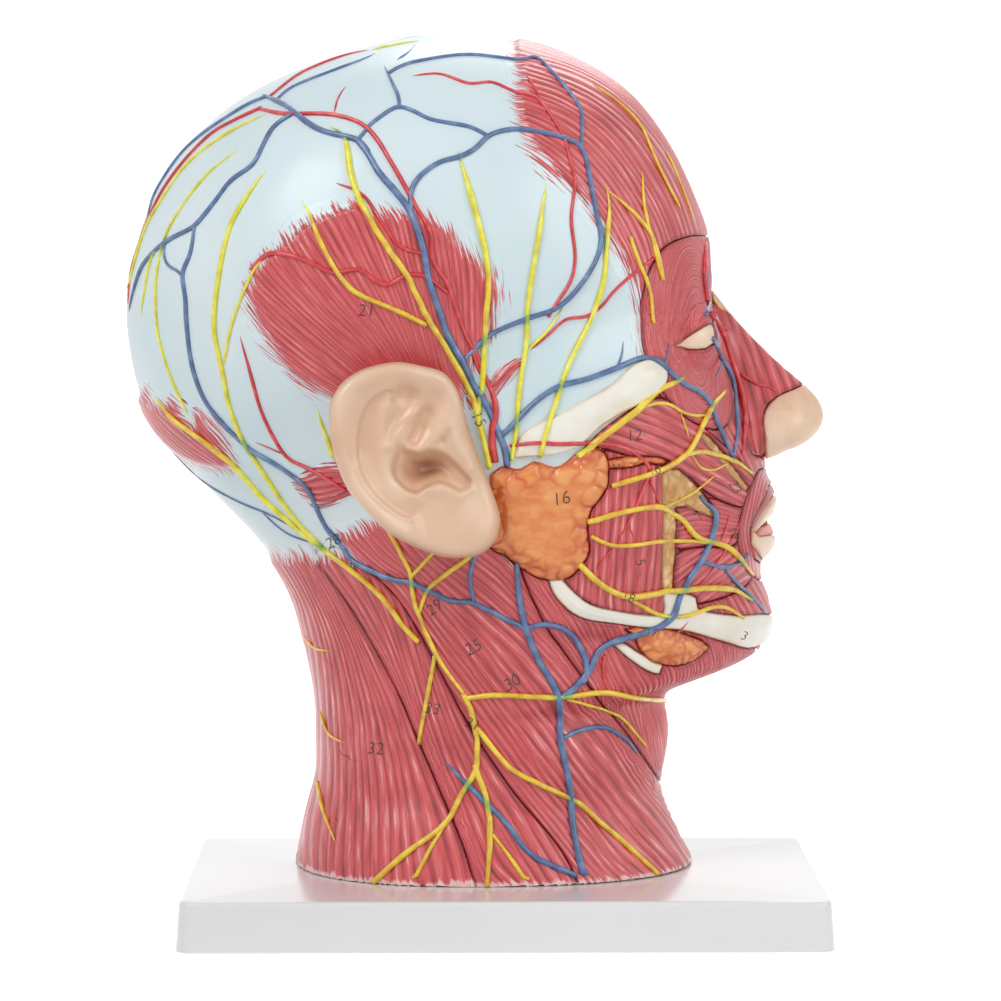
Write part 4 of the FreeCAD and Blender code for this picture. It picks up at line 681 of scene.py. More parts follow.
# The muscles: low pads with fine ridges along their fibres, painted in reds over pink.
# Towards the scalp their paint runs out in brushed strokes.
# Fibre guide lines in pixels with their places across, in millimetres; the width of a
# ridge and its height in millimetres; how far the free edge is brushed out
FIBRES = {
    "nasal_muscle": (
        [(0, [(716, 290), (735, 330), (752, 372), (762, 410), (764, 445)]),
         (7, [(728, 284), (755, 325), (784, 362), (800, 388)]),
         (14, [(738, 280), (768, 312), (800, 350), (822, 385)])], 1.5, 0.16, 0),
    "orbicularis_oculi": (None, 1.25, 0.22, 0),
    "frontalis": (
        [(0, [(520, 58), (555, 66), (590, 80), (625, 104), (655, 138), (676, 172), (694, 212),
              (702, 242)]),
         (10, [(513, 85), (550, 95), (590, 116), (622, 145), (650, 185), (668, 222),
               (676, 256), (668, 300)]),
         (18, [(515, 110), (550, 123), (585, 146), (612, 176), (636, 214), (652, 250),
               (656, 300), (656, 350)]),
         (25, [(520, 132), (550, 150), (580, 176), (604, 206), (624, 240), (638, 275),
               (646, 320), (652, 360)]),
         (31, [(528, 158), (556, 181), (584, 210), (604, 238), (622, 270), (632, 300),
               (638, 340), (646, 378)])], 1.55, 0.24, 4.0),
    "masseter": (
        [(0, [(592, 510), (590, 560), (588, 596)]), (6, [(612, 468), (609, 530), (604, 600)]),
         (13, [(640, 466), (638, 530), (632, 606)]), (20, [(664, 474), (664, 540), (658, 610)])],
        2.3, 0.42, 0),
    "mouth_ring": (
        [(0, [(742, 500), (736, 530), (742, 560), (760, 576)]),
         (6, [(760, 474), (752, 504), (746, 530), (750, 552), (762, 564)])], 1.5, 0.2, 0),
    "zygomatic_muscles": (
        [(0, [(600, 440), (650, 458), (700, 486), (742, 506)]),
         (5, [(628, 420), (676, 440), (716, 466), (750, 492)]),
         (10, [(656, 403), (700, 428), (730, 452), (752, 476)])], 1.6, 0.28, 0),
    "cheek_muscle": (
        [(0, [(676, 510), (706, 507), (740, 518)]), (9, [(676, 542), (706, 538), (738, 532)])],
        1.6, 0.26, 0),
    "mouth_depressor": (
        [(0, [(724, 546), (698, 564), (674, 580)]), (7, [(741, 560), (716, 582), (694, 602)])],
        1.6, 0.28, 0),
    "chin_muscle": (
        [(0, [(750, 578), (758, 594), (768, 612)]), (6, [(728, 588), (736, 602), (744, 616)]),
         (12, [(706, 598), (712, 608), (716, 616)])], 1.5, 0.24, 0),
    "face_muscles": (
        [(0, [(722, 330), (742, 380), (754, 430), (764, 476)]),
         (6, [(714, 400), (734, 444), (750, 480)]), (12, [(690, 420), (712, 448), (730, 470)])],
        1.7, 0.26, 0),
    "temporalis": (
        [(0, [(284, 368), (310, 388), (345, 405)]), (7, [(262, 330), (300, 362), (350, 395)]),
         (15, [(255, 285), (300, 325), (352, 370), (385, 400)]),
         (25, [(277, 254), (315, 300), (360, 345), (395, 385)]),
         (35, [(310, 227), (340, 275), (375, 325), (408, 375)]),
         (45, [(355, 210), (375, 255), (398, 310), (420, 368)]),
         (54, [(403, 215), (412, 260), (425, 310), (437, 365)]),
         (63, [(440, 228), (446, 270), (452, 320), (458, 370)]),
         (72, [(480, 264), (482, 300), (482, 340), (480, 372)])], 1.5, 0.22, 4.5),
    "occipitalis": (
        [(0, [(148, 402), (170, 432), (200, 455), (222, 467)]),
         (5, [(162, 406), (190, 430), (228, 464)]), (10, [(198, 414), (214, 432), (234, 462)])],
        1.3, 0.2, 2.5),
    "posterior_auricular": (
        [(0, [(292, 478), (315, 470), (345, 470)]), (7, [(296, 494), (320, 502), (348, 492)])],
        1.4, 0.25, 0.5),
    "anterior_auricular": (
        [(0, [(492, 386), (505, 368), (518, 360)]), (5, [(497, 396), (508, 382), (519, 370)])],
        1.2, 0.25, 0.5),
    "superior_auricular": (
        [(0, [(463, 390), (470, 400), (476, 410)]), (6, [(480, 392), (486, 400), (490, 408)])],
        1.2, 0.25, 0.3),
    "sternocleidomastoid": (
        [(0, [(400, 575), (440, 632), (490, 700), (545, 775), (610, 860)]),
         (10, [(398, 550), (450, 600), (510, 665), (570, 745), (640, 835)]),
         (19, [(440, 552), (500, 600), (555, 655), (605, 722), (655, 800), (690, 860)]),
         (27, [(500, 566), (545, 620), (585, 680), (625, 740), (660, 800), (700, 862)])],
        2.1, 0.32, 3.5),
    "trapezius": (
        [(0, [(300, 600), (312, 660), (317, 730), (309, 800), (300, 860)]),
         (10, [(306, 572), (335, 640), (348, 720), (350, 800), (345, 880)]),
         (20, [(316, 562), (350, 625), (378, 700), (394, 790), (400, 890)]),
         (28, [(330, 566), (366, 628), (398, 690), (424, 752), (448, 810), (468, 885)])],
        1.8, 0.3, 3.0),
    "splenius": (
        [(0, [(322, 556), (362, 614), (396, 675), (422, 740), (448, 800), (472, 880)]),
         (8, [(360, 545), (392, 620), (414, 690), (440, 770), (482, 880)]),
         (16, [(392, 540), (412, 600), (432, 670), (462, 750), (502, 830), (535, 885)]),
         (24, [(420, 600), (446, 660), (482, 730), (530, 800), (580, 885)])], 2.0, 0.3, 3.5),
    "throat_muscles": (
        [(0, [(540, 590), (572, 640), (604, 690), (632, 750), (652, 800)]),
         (7, [(570, 605), (602, 660), (618, 710), (642, 780)]),
         (14, [(604, 625), (634, 680), (640, 730), (652, 790)]),
         (20, [(650, 660), (662, 700), (665, 740), (658, 790)])], 1.9, 0.34, 0),
}
MUSCLE_RELIEF = 1.3 * MM
FEATHER_RELIEF = 0.06 * MM
SOFT_EDGE = 3.0 * MM


def on_skin(px):
    """Where a pixel's sight line meets the fine skin, or None."""
    return sheet_tree.ray_cast(EYE, sight_line(px))[0]


def fibre_field(points, guides):
    """Each point's place across and along the fibres, from a few guide lines."""
    known, across, along = [], [], []
    for level, line_px in guides:
        run, last = 0.0, None
        for px in smooth_line(line_px, 14):
            hit = on_skin(px)
            if hit is None:
                continue
            run += (hit - last).length if last else 0.0
            last = hit
            known.append(hit)
            across.append(level * MM)
            along.append(run)
    known = np.array(known)
    count = len(known)
    apart = np.linalg.norm(known[:, None] - known[None], axis=2)
    flat = np.hstack([np.ones((count, 1)), known])
    system = np.zeros((count + 4, count + 4))
    system[:count, :count] = apart - np.eye(count) * 0.001
    system[:count, count:], system[count:, :count] = flat, flat.T
    system[count:, count:] = np.eye(4) * 1e-7
    wanted = np.zeros((count + 4, 2))
    wanted[:count, 0], wanted[:count, 1] = across, along
    weights = np.linalg.solve(system, wanted)
    made = np.hstack([np.ones((len(points), 1)), points]) @ weights[count:]
    for middle, weight in zip(known, weights[:count]):
        made += np.linalg.norm(points - middle, axis=1)[:, None] * weight
    return made[:, 0], made[:, 1]


EYE_MIDDLE = on_skin((706, 334))
EYE_STRETCH = 0.52


def rings_round_eye(points):
    """The fibres of the muscle round the eye: across is the ring, along goes round."""
    away = points - np.array(EYE_MIDDLE)
    level = np.hypot(away[:, 0], away[:, 1]) / EYE_STRETCH
    turn = np.arctan2(away[:, 2], -away[:, 0])
    across = np.hypot(level, away[:, 2])
    return across, turn * 20 * MM


def strands(across, along, period):
    """Uneven ridges along the fibres: 0 in a groove, 1 on a ridge."""
    wander = 0.35 * np.sin(along / (9 * MM) + across / (2.3 * MM))
    uneven = 0.9 * np.sin(across / (period * 0.63)) + 0.5 * np.sin(across / (period * 1.71) + 1.3)
    return 0.5 + 0.5 * np.cos(across / period * math.tau + uneven + wander)


muscle_paint, tree, shader = new_material("muscle_vinyl", 0.38, 0.25)
across, along, free_edge = noted(tree, "fibre")
ridge, edge, _ = noted(tree, "form")
strand_place = add(tree, "ShaderNodeCombineXYZ", {
    0: maths(tree, "MULTIPLY", across, 1150.0), 1: maths(tree, "MULTIPLY", along, 75.0)})
strand_noise = cloud(tree, 1.0, 4.0, strand_place.outputs[0])
# Pale dry-brushed paint on the fibre crests, broken by noise (worn), and darker paint in the troughs:
# brushwork of the casting that is also a painted highlight on the fine ridges and painted shade between
# them.
crest_paint_and_highlight = add(tree, "ShaderNodeMapRange", {0: ridge, 1: 0.7, 2: 1.0, 3: 0.0, 4: 0.34})
trough_paint_and_shade = add(tree, "ShaderNodeMapRange", {0: ridge, 1: 0.36, 2: 0.0, 3: 0.0, 4: -0.27})
worn = maths(tree, "MULTIPLY", crest_paint_and_highlight.outputs[0], maths(
    tree, "MULTIPLY", maths(tree, "SUBTRACT", strand_noise, 0.38), 3.4))
tone = maths(tree, "ADD", maths(tree, "MAXIMUM", worn, 0.0), trough_paint_and_shade.outputs[0])
tone = maths(tree, "ADD", tone, maths(tree, "MULTIPLY", strand_noise, 0.85))
tone = maths(tree, "ADD", tone, maths(tree, "MULTIPLY", cloud(tree, 45.0), 0.3))
# Painted shade: the red darkens towards the pad's outline, in the groove to its neighbours.
groove = add(tree, "ShaderNodeMapRange", {0: edge, 1: 0.0, 2: 1.6 * MM, 3: -0.5, 4: -0.14})
tone = maths(tree, "ADD", tone, groove.outputs[0])
reds = colours(tree, tone, (0.05, (132, 32, 38)), (0.25, (174, 54, 60)), (0.44, (203, 77, 81)),
               (0.66, (216, 107, 108)), (0.95, (238, 179, 176)))
stroke_place = add(tree, "ShaderNodeCombineXYZ", {
    0: maths(tree, "MULTIPLY", across, 1900.0), 1: maths(tree, "MULTIPLY", along, 75.0)})
stroke = maths(tree, "SUBTRACT", cloud(tree, 1.0, 3.0, stroke_place.outputs[0]), 0.5)
reach = maths(tree, "ADD", free_edge, maths(tree, "MULTIPLY", stroke, 22 * MM))
painted = add(tree, "ShaderNodeMapRange", {0: reach, 1: -0.5 * MM, 2: 1.0 * MM, 3: 0.0, 4: 1.0})
place = add(tree, "ShaderNodeTexCoord")
height = add(tree, "ShaderNodeSeparateXYZ", {"Vector": place.outputs["Object"]}).outputs["Z"]
chips = maths(tree, "SUBTRACT", height, maths(tree, "MULTIPLY", strand_noise, 7 * MM))
bare = add(tree, "ShaderNodeMapRange", {0: chips, 1: NECK_FOOT - 2.6 * MM,
                                        2: NECK_FOOT - 1.6 * MM, 3: 0.8, 4: 0.0})
reds = mixed(tree, bare.outputs[0], reds, linear(238, 208, 202))
tree.links.new(mixed(tree, painted.outputs[0], scalp_colour(tree), reds),
               shader.inputs["Base Color"])
roughen(tree, shader, strand_noise, 0.35, 0.3 * MM)


def muscle(*names):
    """One muscle's pads, from its outlines and fibres."""
    whole = bmesh.new()
    for name in names:
        guides, period, height, feather = FIBRES[name]
        mesh = skin_patch(name, (feather + 1.2) * MM, cuts=1)
        points, outward = read(mesh)
        border, free_edge = edges_of(name, pixels_of(points), feather * MM)
        across, along = fibre_field(points, guides) if guides else rings_round_eye(points)
        ridge = strands(across, along, period * MM)
        full = ramp_up(free_edge, SOFT_EDGE) if feather else 1.0
        relief = FEATHER_RELIEF + (MUSCLE_RELIEF - FEATHER_RELIEF) * full
        rise = bank(border, relief)
        rise += height * MM * (ridge - 0.5) * ramp_up(border, 1.5 * MM) * full
        note(mesh, "fibre", across, along, free_edge if feather else free_edge + 20 * MM)
        note(mesh, "form", ridge, border)
        close_pad(mesh, outward, rise)
        data = bpy.data.meshes.new(name)
        mesh.to_mesh(data)
        mesh.free()
        whole.from_mesh(data)
    return whole


SHARED = {
    "auricular_muscles": ("posterior_auricular", "anterior_auricular",
                          "superior_auricular"),
    "face_muscles": ("mouth_ring", "zygomatic_muscles", "cheek_muscle", "mouth_depressor",
                     "chin_muscle", "face_muscles"),
}
for name in FIBRES:
    if not any(name in parts for parts in SHARED.values()):
        finish_piece(muscle(name), f"{name}_pad", muscle_paint, "muscle_vinyl", name)
for name, parts in SHARED.items():
    finish_piece(muscle(*parts), f"{name}_pads", muscle_paint, "muscle_vinyl", name)

# The bones that lie bare between the muscles: smooth ivory, a little uneven in tone, with painted shade
# that darkens and yellows them towards their outlines.
bone_paint, tree, shader = new_material("bone_vinyl", 0.36, 0.2)
_, edge, _ = noted(tree, "form")
shade = add(tree, "ShaderNodeMapRange", {0: edge, 1: 0.0, 2: 1.4 * MM, 3: -0.3, 4: 0.0})
tone = maths(tree, "ADD", cloud(tree, 70.0), shade.outputs[0])
tree.links.new(colours(tree, tone, (0.08, (206, 166, 130)), (0.3, (232, 222, 202)),
                       (0.55, (239, 236, 226))), shader.inputs["Base Color"])
roughen(tree, shader, cloud(tree, 400.0), 0.15, 0.2 * MM)
# The noise of the lobes and the brain's folds starts from a fixed seed
NOISE_SEED = 7
noise.seed_set(NOISE_SEED)


def lobe(spot):
    """Rounded lobes with wandering seams: 0 in a seam, 1 on a lobe."""
    near = noise.voronoi(spot + noise.noise_vector(spot * 1.4) * 0.45)[0]
    share = min(1.0, (near[1] - near[0]) * 1.9)
    return 1 - (1 - share) ** 2


def plain_pad(names, relief, swell=0.0, lobes=0.0, lobe_size=1.0):
    """Smooth pads: a rounded rise over the skin, with lobes if the part has them."""
    whole = bmesh.new()
    for name in names:
        mesh = skin_patch(name, 1.2 * MM, cuts=1)
        points, outward = read(mesh)
        border, free_edge = edges_of(name, pixels_of(points), 0.0)
        lump = np.ones(len(points))
        if lobes:
            lump = np.array([lobe(Vector(point) / lobe_size) for point in points])
            lump = 1 - (1 - lump) * (0.22 + 0.78 * (1 - ramp_up(border - 2 * MM, 6 * MM)))
        rise = bank(border, relief) + swell * ramp_up(border, 5 * MM) + lobes * (lump - 0.8)
        note(mesh, "form", lump, border)
        close_pad(mesh, outward, rise)
        data = bpy.data.meshes.new(name)
        mesh.to_mesh(data)
        mesh.free()
        whole.from_mesh(data)
    return whole


finish_piece(plain_pad(["zygomatic_arch"], 1.5 * MM, 0.9 * MM), "cheek_bone", bone_paint,
             "bone_vinyl", "zygomatic_arch")
finish_piece(plain_pad(["mandible"], 1.3 * MM, 0.5 * MM), "jaw_bone", bone_paint,
             "bone_vinyl", "mandible")
finish_piece(plain_pad(["hyoid_bone"], 1.3 * MM, 0.3 * MM), "throat_bone", bone_paint,
             "bone_vinyl", "hyoid_bone")

# The glands: orange, lobed like a berry and brushed in streaks, with painted shade darkening the seams
# between the lobes and the pad's outline.
gland_paint, tree, shader = new_material("gland_vinyl", 0.33, 0.35)
lump, edge, _ = noted(tree, "form")
place = add(tree, "ShaderNodeTexCoord")
brush = add(tree, "ShaderNodeMapping", {"Vector": place.outputs["Object"],
                                        "Rotation": (0, 0.5, 0), "Scale": (1, 1, 2.6)})
wash = cloud(tree, 120.0, 5.0, brush.outputs["Vector"])
# Painted shade: the seams between the lobes, where the lump is low, and the outline are darker.
tone = maths(tree, "ADD", maths(tree, "MULTIPLY", lump, 0.3),
             maths(tree, "MULTIPLY", wash, 0.5))
tone = maths(tree, "ADD", tone, maths(tree, "MULTIPLY", cloud(tree, 42.0, 2.0), 0.36))
shade = add(tree, "ShaderNodeMapRange", {0: edge, 1: 0.0, 2: 1.6 * MM, 3: -0.2, 4: 0.0})
tone = maths(tree, "ADD", tone, shade.outputs[0])
tree.links.new(colours(tree, tone, (0.3, (172, 74, 28)), (0.52, (206, 102, 42)),
                       (0.68, (224, 134, 64)), (0.84, (236, 166, 98))),
               shader.inputs["Base Color"])
roughen(tree, shader, wash, 0.3, 0.4 * MM)
finish_piece(plain_pad(["parotid_gland", "gland_duct"], 1.7 * MM, 1.4 * MM, 0.75 * MM,
                       6.0 * MM), "parotid_lobes", gland_paint, "gland_vinyl", "parotid_gland")
finish_piece(plain_pad(["submandibular_gland"], 1.6 * MM, 1.2 * MM, 0.6 * MM, 4.6 * MM),
             "submandibular_lobes", gland_paint, "gland_vinyl", "submandibular_gland")

# The cheek's fat: a tan pad between the chewing muscle and the face's muscles.
fat_paint, tree, shader = new_material("fat_vinyl", 0.4, 0.15)
lump, edge, _ = noted(tree, "form")
# Painted shade: the seams between the fat's lobes and its outline are darker.
tone = maths(tree, "ADD", maths(tree, "MULTIPLY", lump, 0.3), cloud(tree, 170.0, 5.0))
shade = add(tree, "ShaderNodeMapRange", {0: edge, 1: 0.0, 2: 1.2 * MM, 3: -0.15, 4: 0.0})
tone = maths(tree, "ADD", tone, shade.outputs[0])
tree.links.new(colours(tree, tone, (0.45, (188, 132, 74)), (0.72, (214, 166, 98)),
                       (0.95, (234, 206, 158))), shader.inputs["Base Color"])
roughen(tree, shader, cloud(tree, 500.0), 0.25, 0.3 * MM)
finish_piece(plain_pad(["cheek_fat_upper", "cheek_fat_lower", "cheek_fat_strip"], 0.6 * MM,
                       0.5 * MM, 0.3 * MM, 4.4 * MM), "cheek_fat", fat_paint, "fat_vinyl", "buccal_fat")

# The face's bare skin: the nose's tip with its wing, the closed lid and the lips.
skin_paint, tree, shader = new_material("skin_vinyl", 0.4, 0.15)
_, edge, rosy = noted(tree, "form")
shade = add(tree, "ShaderNodeMapRange", {0: edge, 1: 0.0, 2: 1.5 * MM, 3: -0.2, 4: 0.0})
tone = maths(tree, "ADD", cloud(tree, 55.0), shade.outputs[0])
flesh = colours(tree, tone, (0.1, (206, 150, 124)), (0.4, (230, 194, 164)),
                (0.65, (240, 216, 192)))
tree.links.new(mixed(tree, rosy, flesh, linear(222, 122, 112)), shader.inputs["Base Color"])
roughen(tree, shader, cloud(tree, 900.0), 0.12, 0.2 * MM)


def skin_pad(parts):
    """Pads of bare skin; each part has its relief and how rosy it is."""
    whole = bmesh.new()
    for name, relief, rosy in parts:
        mesh = skin_patch(name, 1.2 * MM, cuts=1)
        points, outward = read(mesh)
        border, free_edge = edges_of(name, pixels_of(points), 0.0)
        note(mesh, "form", np.zeros(len(points)), border, np.full(len(points), rosy))
        close_pad(mesh, outward, bank(border, relief * MM))
        data = bpy.data.meshes.new(name)
        mesh.to_mesh(data)
        mesh.free()
        whole.from_mesh(data)
    return whole


finish_piece(skin_pad([("nose_tip", 1.3, 0.0)]), "nose", skin_paint, "skin_vinyl", "nose_tip")
finish_piece(skin_pad([("eyelid", 1.0, 0.0)]), "closed_lid", skin_paint, "skin_vinyl", "eyelid")
finish_piece(skin_pad([("upper_lip", 1.2, 0.0), ("vermilion", 1.3, 0.8),
                       ("lower_lip", 1.3, 0.0)]), "mouth", skin_paint, "skin_vinyl", "lips")
border_paint, tree, shader = new_material("lip_border_red", 0.36, 0.25)
tree.links.new(colours(tree, cloud(tree, 90.0, 4.0), (0.3, (132, 26, 32)), (0.7, (170, 46, 50))),
               shader.inputs["Base Color"])
roughen(tree, shader, cloud(tree, 600.0), 0.12, 0.2 * MM)
finish_piece(skin_pad([("lip_border", 0.9, 0.0)]), "lip_edge", border_paint, "skin_vinyl")

# The ear: a rim rolled over a hollow, with the forked inner ridge and the deep bowl. It
# faces the camera, so its relief is a height over its own smooth face.
EAR_OUTLINE = [
    (329, 428), (330, 405), (336, 391), (346, 379), (366, 368), (396, 362), (422, 366),
    (444, 373), (458, 392), (469, 428), (481, 462), (490, 485), (498, 508), (500, 523),
    (495, 541), (479, 555), (453, 558), (427, 552), (390, 534), (366, 511), (348, 490),
    (335, 459)]
EAR_ROOT = [
    (402, 430), (392, 455), (396, 480), (412, 502), (444, 522), (474, 540), (492, 524),
    (485, 482), (473, 440), (462, 408), (440, 398), (418, 408)]
EAR_BOWL = [
    (398, 440), (391, 462), (394, 477), (404, 488), (417, 493), (427, 487), (439, 482),
    (450, 486), (461, 491), (470, 487), (471, 480), (463, 470), (453, 458), (443, 450),
    (430, 447), (418, 450), (408, 446)]
# Each ridge or groove: its line in pixels, its half width in pixels, its height in
# millimetres
EAR_FORMS = [
    ([(452, 420), (458, 400), (446, 384), (424, 374), (396, 371), (368, 378), (350, 392),
      (342, 412), (340, 440), (346, 468), (360, 493), (380, 514), (404, 532)], 13, 2.2),
    ([(357, 470), (366, 487), (382, 504), (398, 515), (410, 521)], 2.6, 0.7),
    ([(365, 462), (374, 482), (390, 498), (408, 508)], 7, 0.6),
    ([(388, 402), (384, 416), (382, 432), (384, 446)], 5, 1.0),
    ([(408, 394), (404, 408), (399, 420)], 10, -1.5),
    ([(398, 396), (412, 397)], 8, -1.2),
    ([(392, 444), (397, 432), (404, 421), (414, 413)], 5, 1.0),
    ([(438, 394), (430, 409), (420, 426)], 10, -0.8), ([(427, 412), (420, 426), (413, 440)], 6.5, -2.1),
    ([(450, 428), (440, 434), (428, 442), (416, 450)], 6, 0.9),
    ([(384, 452), (384, 468), (389, 484), (401, 495), (417, 499)], 7, 1.2),
    ([(456, 438), (463, 452), (471, 468)], 8.5, 2.4),
    ([(448, 434), (443, 440)], 5, -1.2), ([(430, 491), (442, 491), (458, 497)], 6, 1.2),
    ([(462, 524), (476, 532)], 24, 1.3),
    ([(397, 484), (406, 493), (417, 496), (427, 491), (439, 486), (450, 489), (461, 495),
      (472, 490)], 3, 0.45),
]
# The rolled rim stands over the ear's inner part along this outline
EAR_INNER = [
    (386, 390), (374, 397), (365, 407), (360, 422), (357, 444), (360, 466), (369, 485),
    (384, 502), (405, 517), (430, 500), (430, 470), (420, 420), (410, 396)]
EAR_STEP_LINE = [(386, 390), (374, 397), (365, 407), (360, 422), (357, 444), (360, 466),
                 (369, 485), (384, 502), (405, 517)]
BOWL_CENTRE = np.array((425, 469))
BOWL_REACH = np.array((22, 15))
EAR_STEP = 1.5
EAR_BACK = 3.9 * MM
EAR_ROLL = 3.3 * MM
BOWL_DEPTH = 8.5 * MM


def beside(px, line_px):
    """How far pixels lie from a line, in pixels."""
    near = np.full(len(px), 1e9)
    line = smooth_line(line_px, 5)
    for (ax, ay), (bx, by) in zip(line, line[1:]):
        run_x, run_y = bx - ax, by - ay
        share = ((px[:, 0] - ax) * run_x + (px[:, 1] - ay) * run_y) / (run_x ** 2 + run_y ** 2 + 1e-9)
        share = np.clip(share, 0, 1)
        near = np.minimum(near, np.hypot(px[:, 0] - ax - share * run_x,
                                         px[:, 1] - ay - share * run_y))
    return near


def tree_of(mesh):
    """A search tree of a bmesh, which is freed."""
    made = BVHTree.FromBMesh(mesh)
    mesh.free()
    return made


cad_ear = tree_of(copy_of("ear"))
ring = smooth_line(EAR_OUTLINE + [EAR_OUTLINE[0]], 0.5)
low, high = ring.min(0) - 4, ring.max(0) + 4
ear = bmesh.new()
count = ((high - low) / EAR_STEP).astype(int)
bmesh.ops.create_grid(ear, x_segments=int(count[0]), y_segments=int(count[1]), size=0.5)
for vert in ear.verts:
    vert.co = (*(low + (high - low) * (np.array(vert.co[:2]) + 0.5)), 0)
place = np.array([v.co[:2] for v in ear.verts])
stays = inside(place, EAR_OUTLINE) > -0.3 * EAR_STEP * PX
bmesh.ops.delete(ear, geom=[f for f in ear.faces if not all(stays[v.index] for v in f.verts)],
                 context="FACES")
for vert in ear.verts:
    if vert.is_boundary:
        vert.co = (*ring[np.argmin(((ring - np.array(vert.co[:2])) ** 2).sum(1))], 0)
inner = [v for v in ear.verts if not v.is_boundary]
bmesh.ops.smooth_vert(ear, verts=inner, factor=0.5, use_axis_x=True, use_axis_y=True)
place = np.array([v.co[:2] for v in ear.verts])


def bent_face(px):
    """The terms of a gently curved face over the picture."""
    x, y = (np.asarray(px, float) - 430).T / 100
    return np.stack([np.ones(len(x)), x, y, x * x, x * y, y * y], 1)


flat_spots = place[(inside(place, EAR_OUTLINE) > 4 * MM) & (inside(place, EAR_BOWL) < -3 * MM)][::7]
found = [(px, (hit - EYE).length) for px in flat_spots
         for hit in [cad_ear.ray_cast(EYE, sight_line(px))[0]] if hit]
curve = np.linalg.lstsq(bent_face([px for px, _ in found]), [depth for _, depth in found],
                        rcond=None)[0]
height = np.zeros(len(place))
for line_px, reach, rise in EAR_FORMS:
    height += rise * MM * np.exp(-(beside(place, line_px) / reach) ** 2)
in_bowl = inside(place, EAR_BOWL)
middle = np.exp(-(((place - BOWL_CENTRE) / BOWL_REACH) ** 2).sum(1))
wall = np.interp(place[:, 1], (450, 478), (4.0, 1.3)) * MM
bowl = ramp_up(in_bowl + 0.5 * MM, wall) * 0.3 + ramp_up(in_bowl, 5 * MM) * middle * 0.7
height -= BOWL_DEPTH * bowl
step_gap = beside(place, EAR_STEP_LINE) * PX * np.where(inside(place, EAR_INNER) > 0, 1, -1)
height -= 1.0 * MM * ramp_up(step_gap + 0.4 * MM, 0.9 * MM) * (1 - ramp_up(step_gap, 7 * MM))
rim = np.clip(inside(place, EAR_OUTLINE) / (3.4 * MM), 0, 1)
height -= EAR_ROLL * (1 - np.sqrt(1 - (1 - rim) ** 2))
face_depth = bent_face(place) @ curve
note(ear, "form", np.zeros(len(place)), np.clip(-height / BOWL_DEPTH, 0, 1) * bowl,
     np.clip(height / MM, -1, 1))
for vert, px, front, rise in zip(ear.verts, place, face_depth, height):
    vert.co = EYE + sight_line(px) * (front - rise)
made = bmesh.ops.extrude_face_region(ear, geom=ear.faces[:])
back = [v for v in made["geom"] if isinstance(v, bmesh.types.BMVert)]
back_px = pixels_of([v.co for v in back])
back_depth = bent_face(back_px) @ curve + EAR_BACK
back_root = ramp_up(inside(back_px, EAR_ROOT) + 1 * MM, 4 * MM)
for vert, px, depth, share in zip(back, back_px, back_depth, back_root):
    skin = on_skin(px)
    deep = (skin - EYE).length + 1.5 * MM if skin else depth
    vert.co = EYE + sight_line(px) * (depth + share * max(0.0, deep - depth))
bmesh.ops.recalc_face_normals(ear, faces=ear.faces)
ear_paint, tree, shader = new_material("ear_vinyl", 0.36, 0.2)
_, depth, high = noted(tree, "form")
# Painted light: the raised folds are lighter and the low ones darker, and the deep bowl is darkened
# towards brown as painted shade.
tone = maths(tree, "ADD", cloud(tree, 40.0), maths(tree, "MULTIPLY", high, 0.08))
flesh = colours(tree, tone, (0.2, (206, 162, 131)), (0.5, (222, 184, 154)),
                (0.75, (234, 205, 178)))
dark = add(tree, "ShaderNodeMapRange", {0: depth, 1: 0.2, 2: 0.85, 3: 0.0, 4: 0.7})
tree.links.new(mixed(tree, dark.outputs[0], flesh, linear(158, 98, 66)),
               shader.inputs["Base Color"])
roughen(tree, shader, cloud(tree, 900.0), 0.1, 0.2 * MM)
ear_tree = BVHTree.FromBMesh(ear)
finish_piece(ear, "ear_form", ear_paint, "skin_vinyl", "ear")

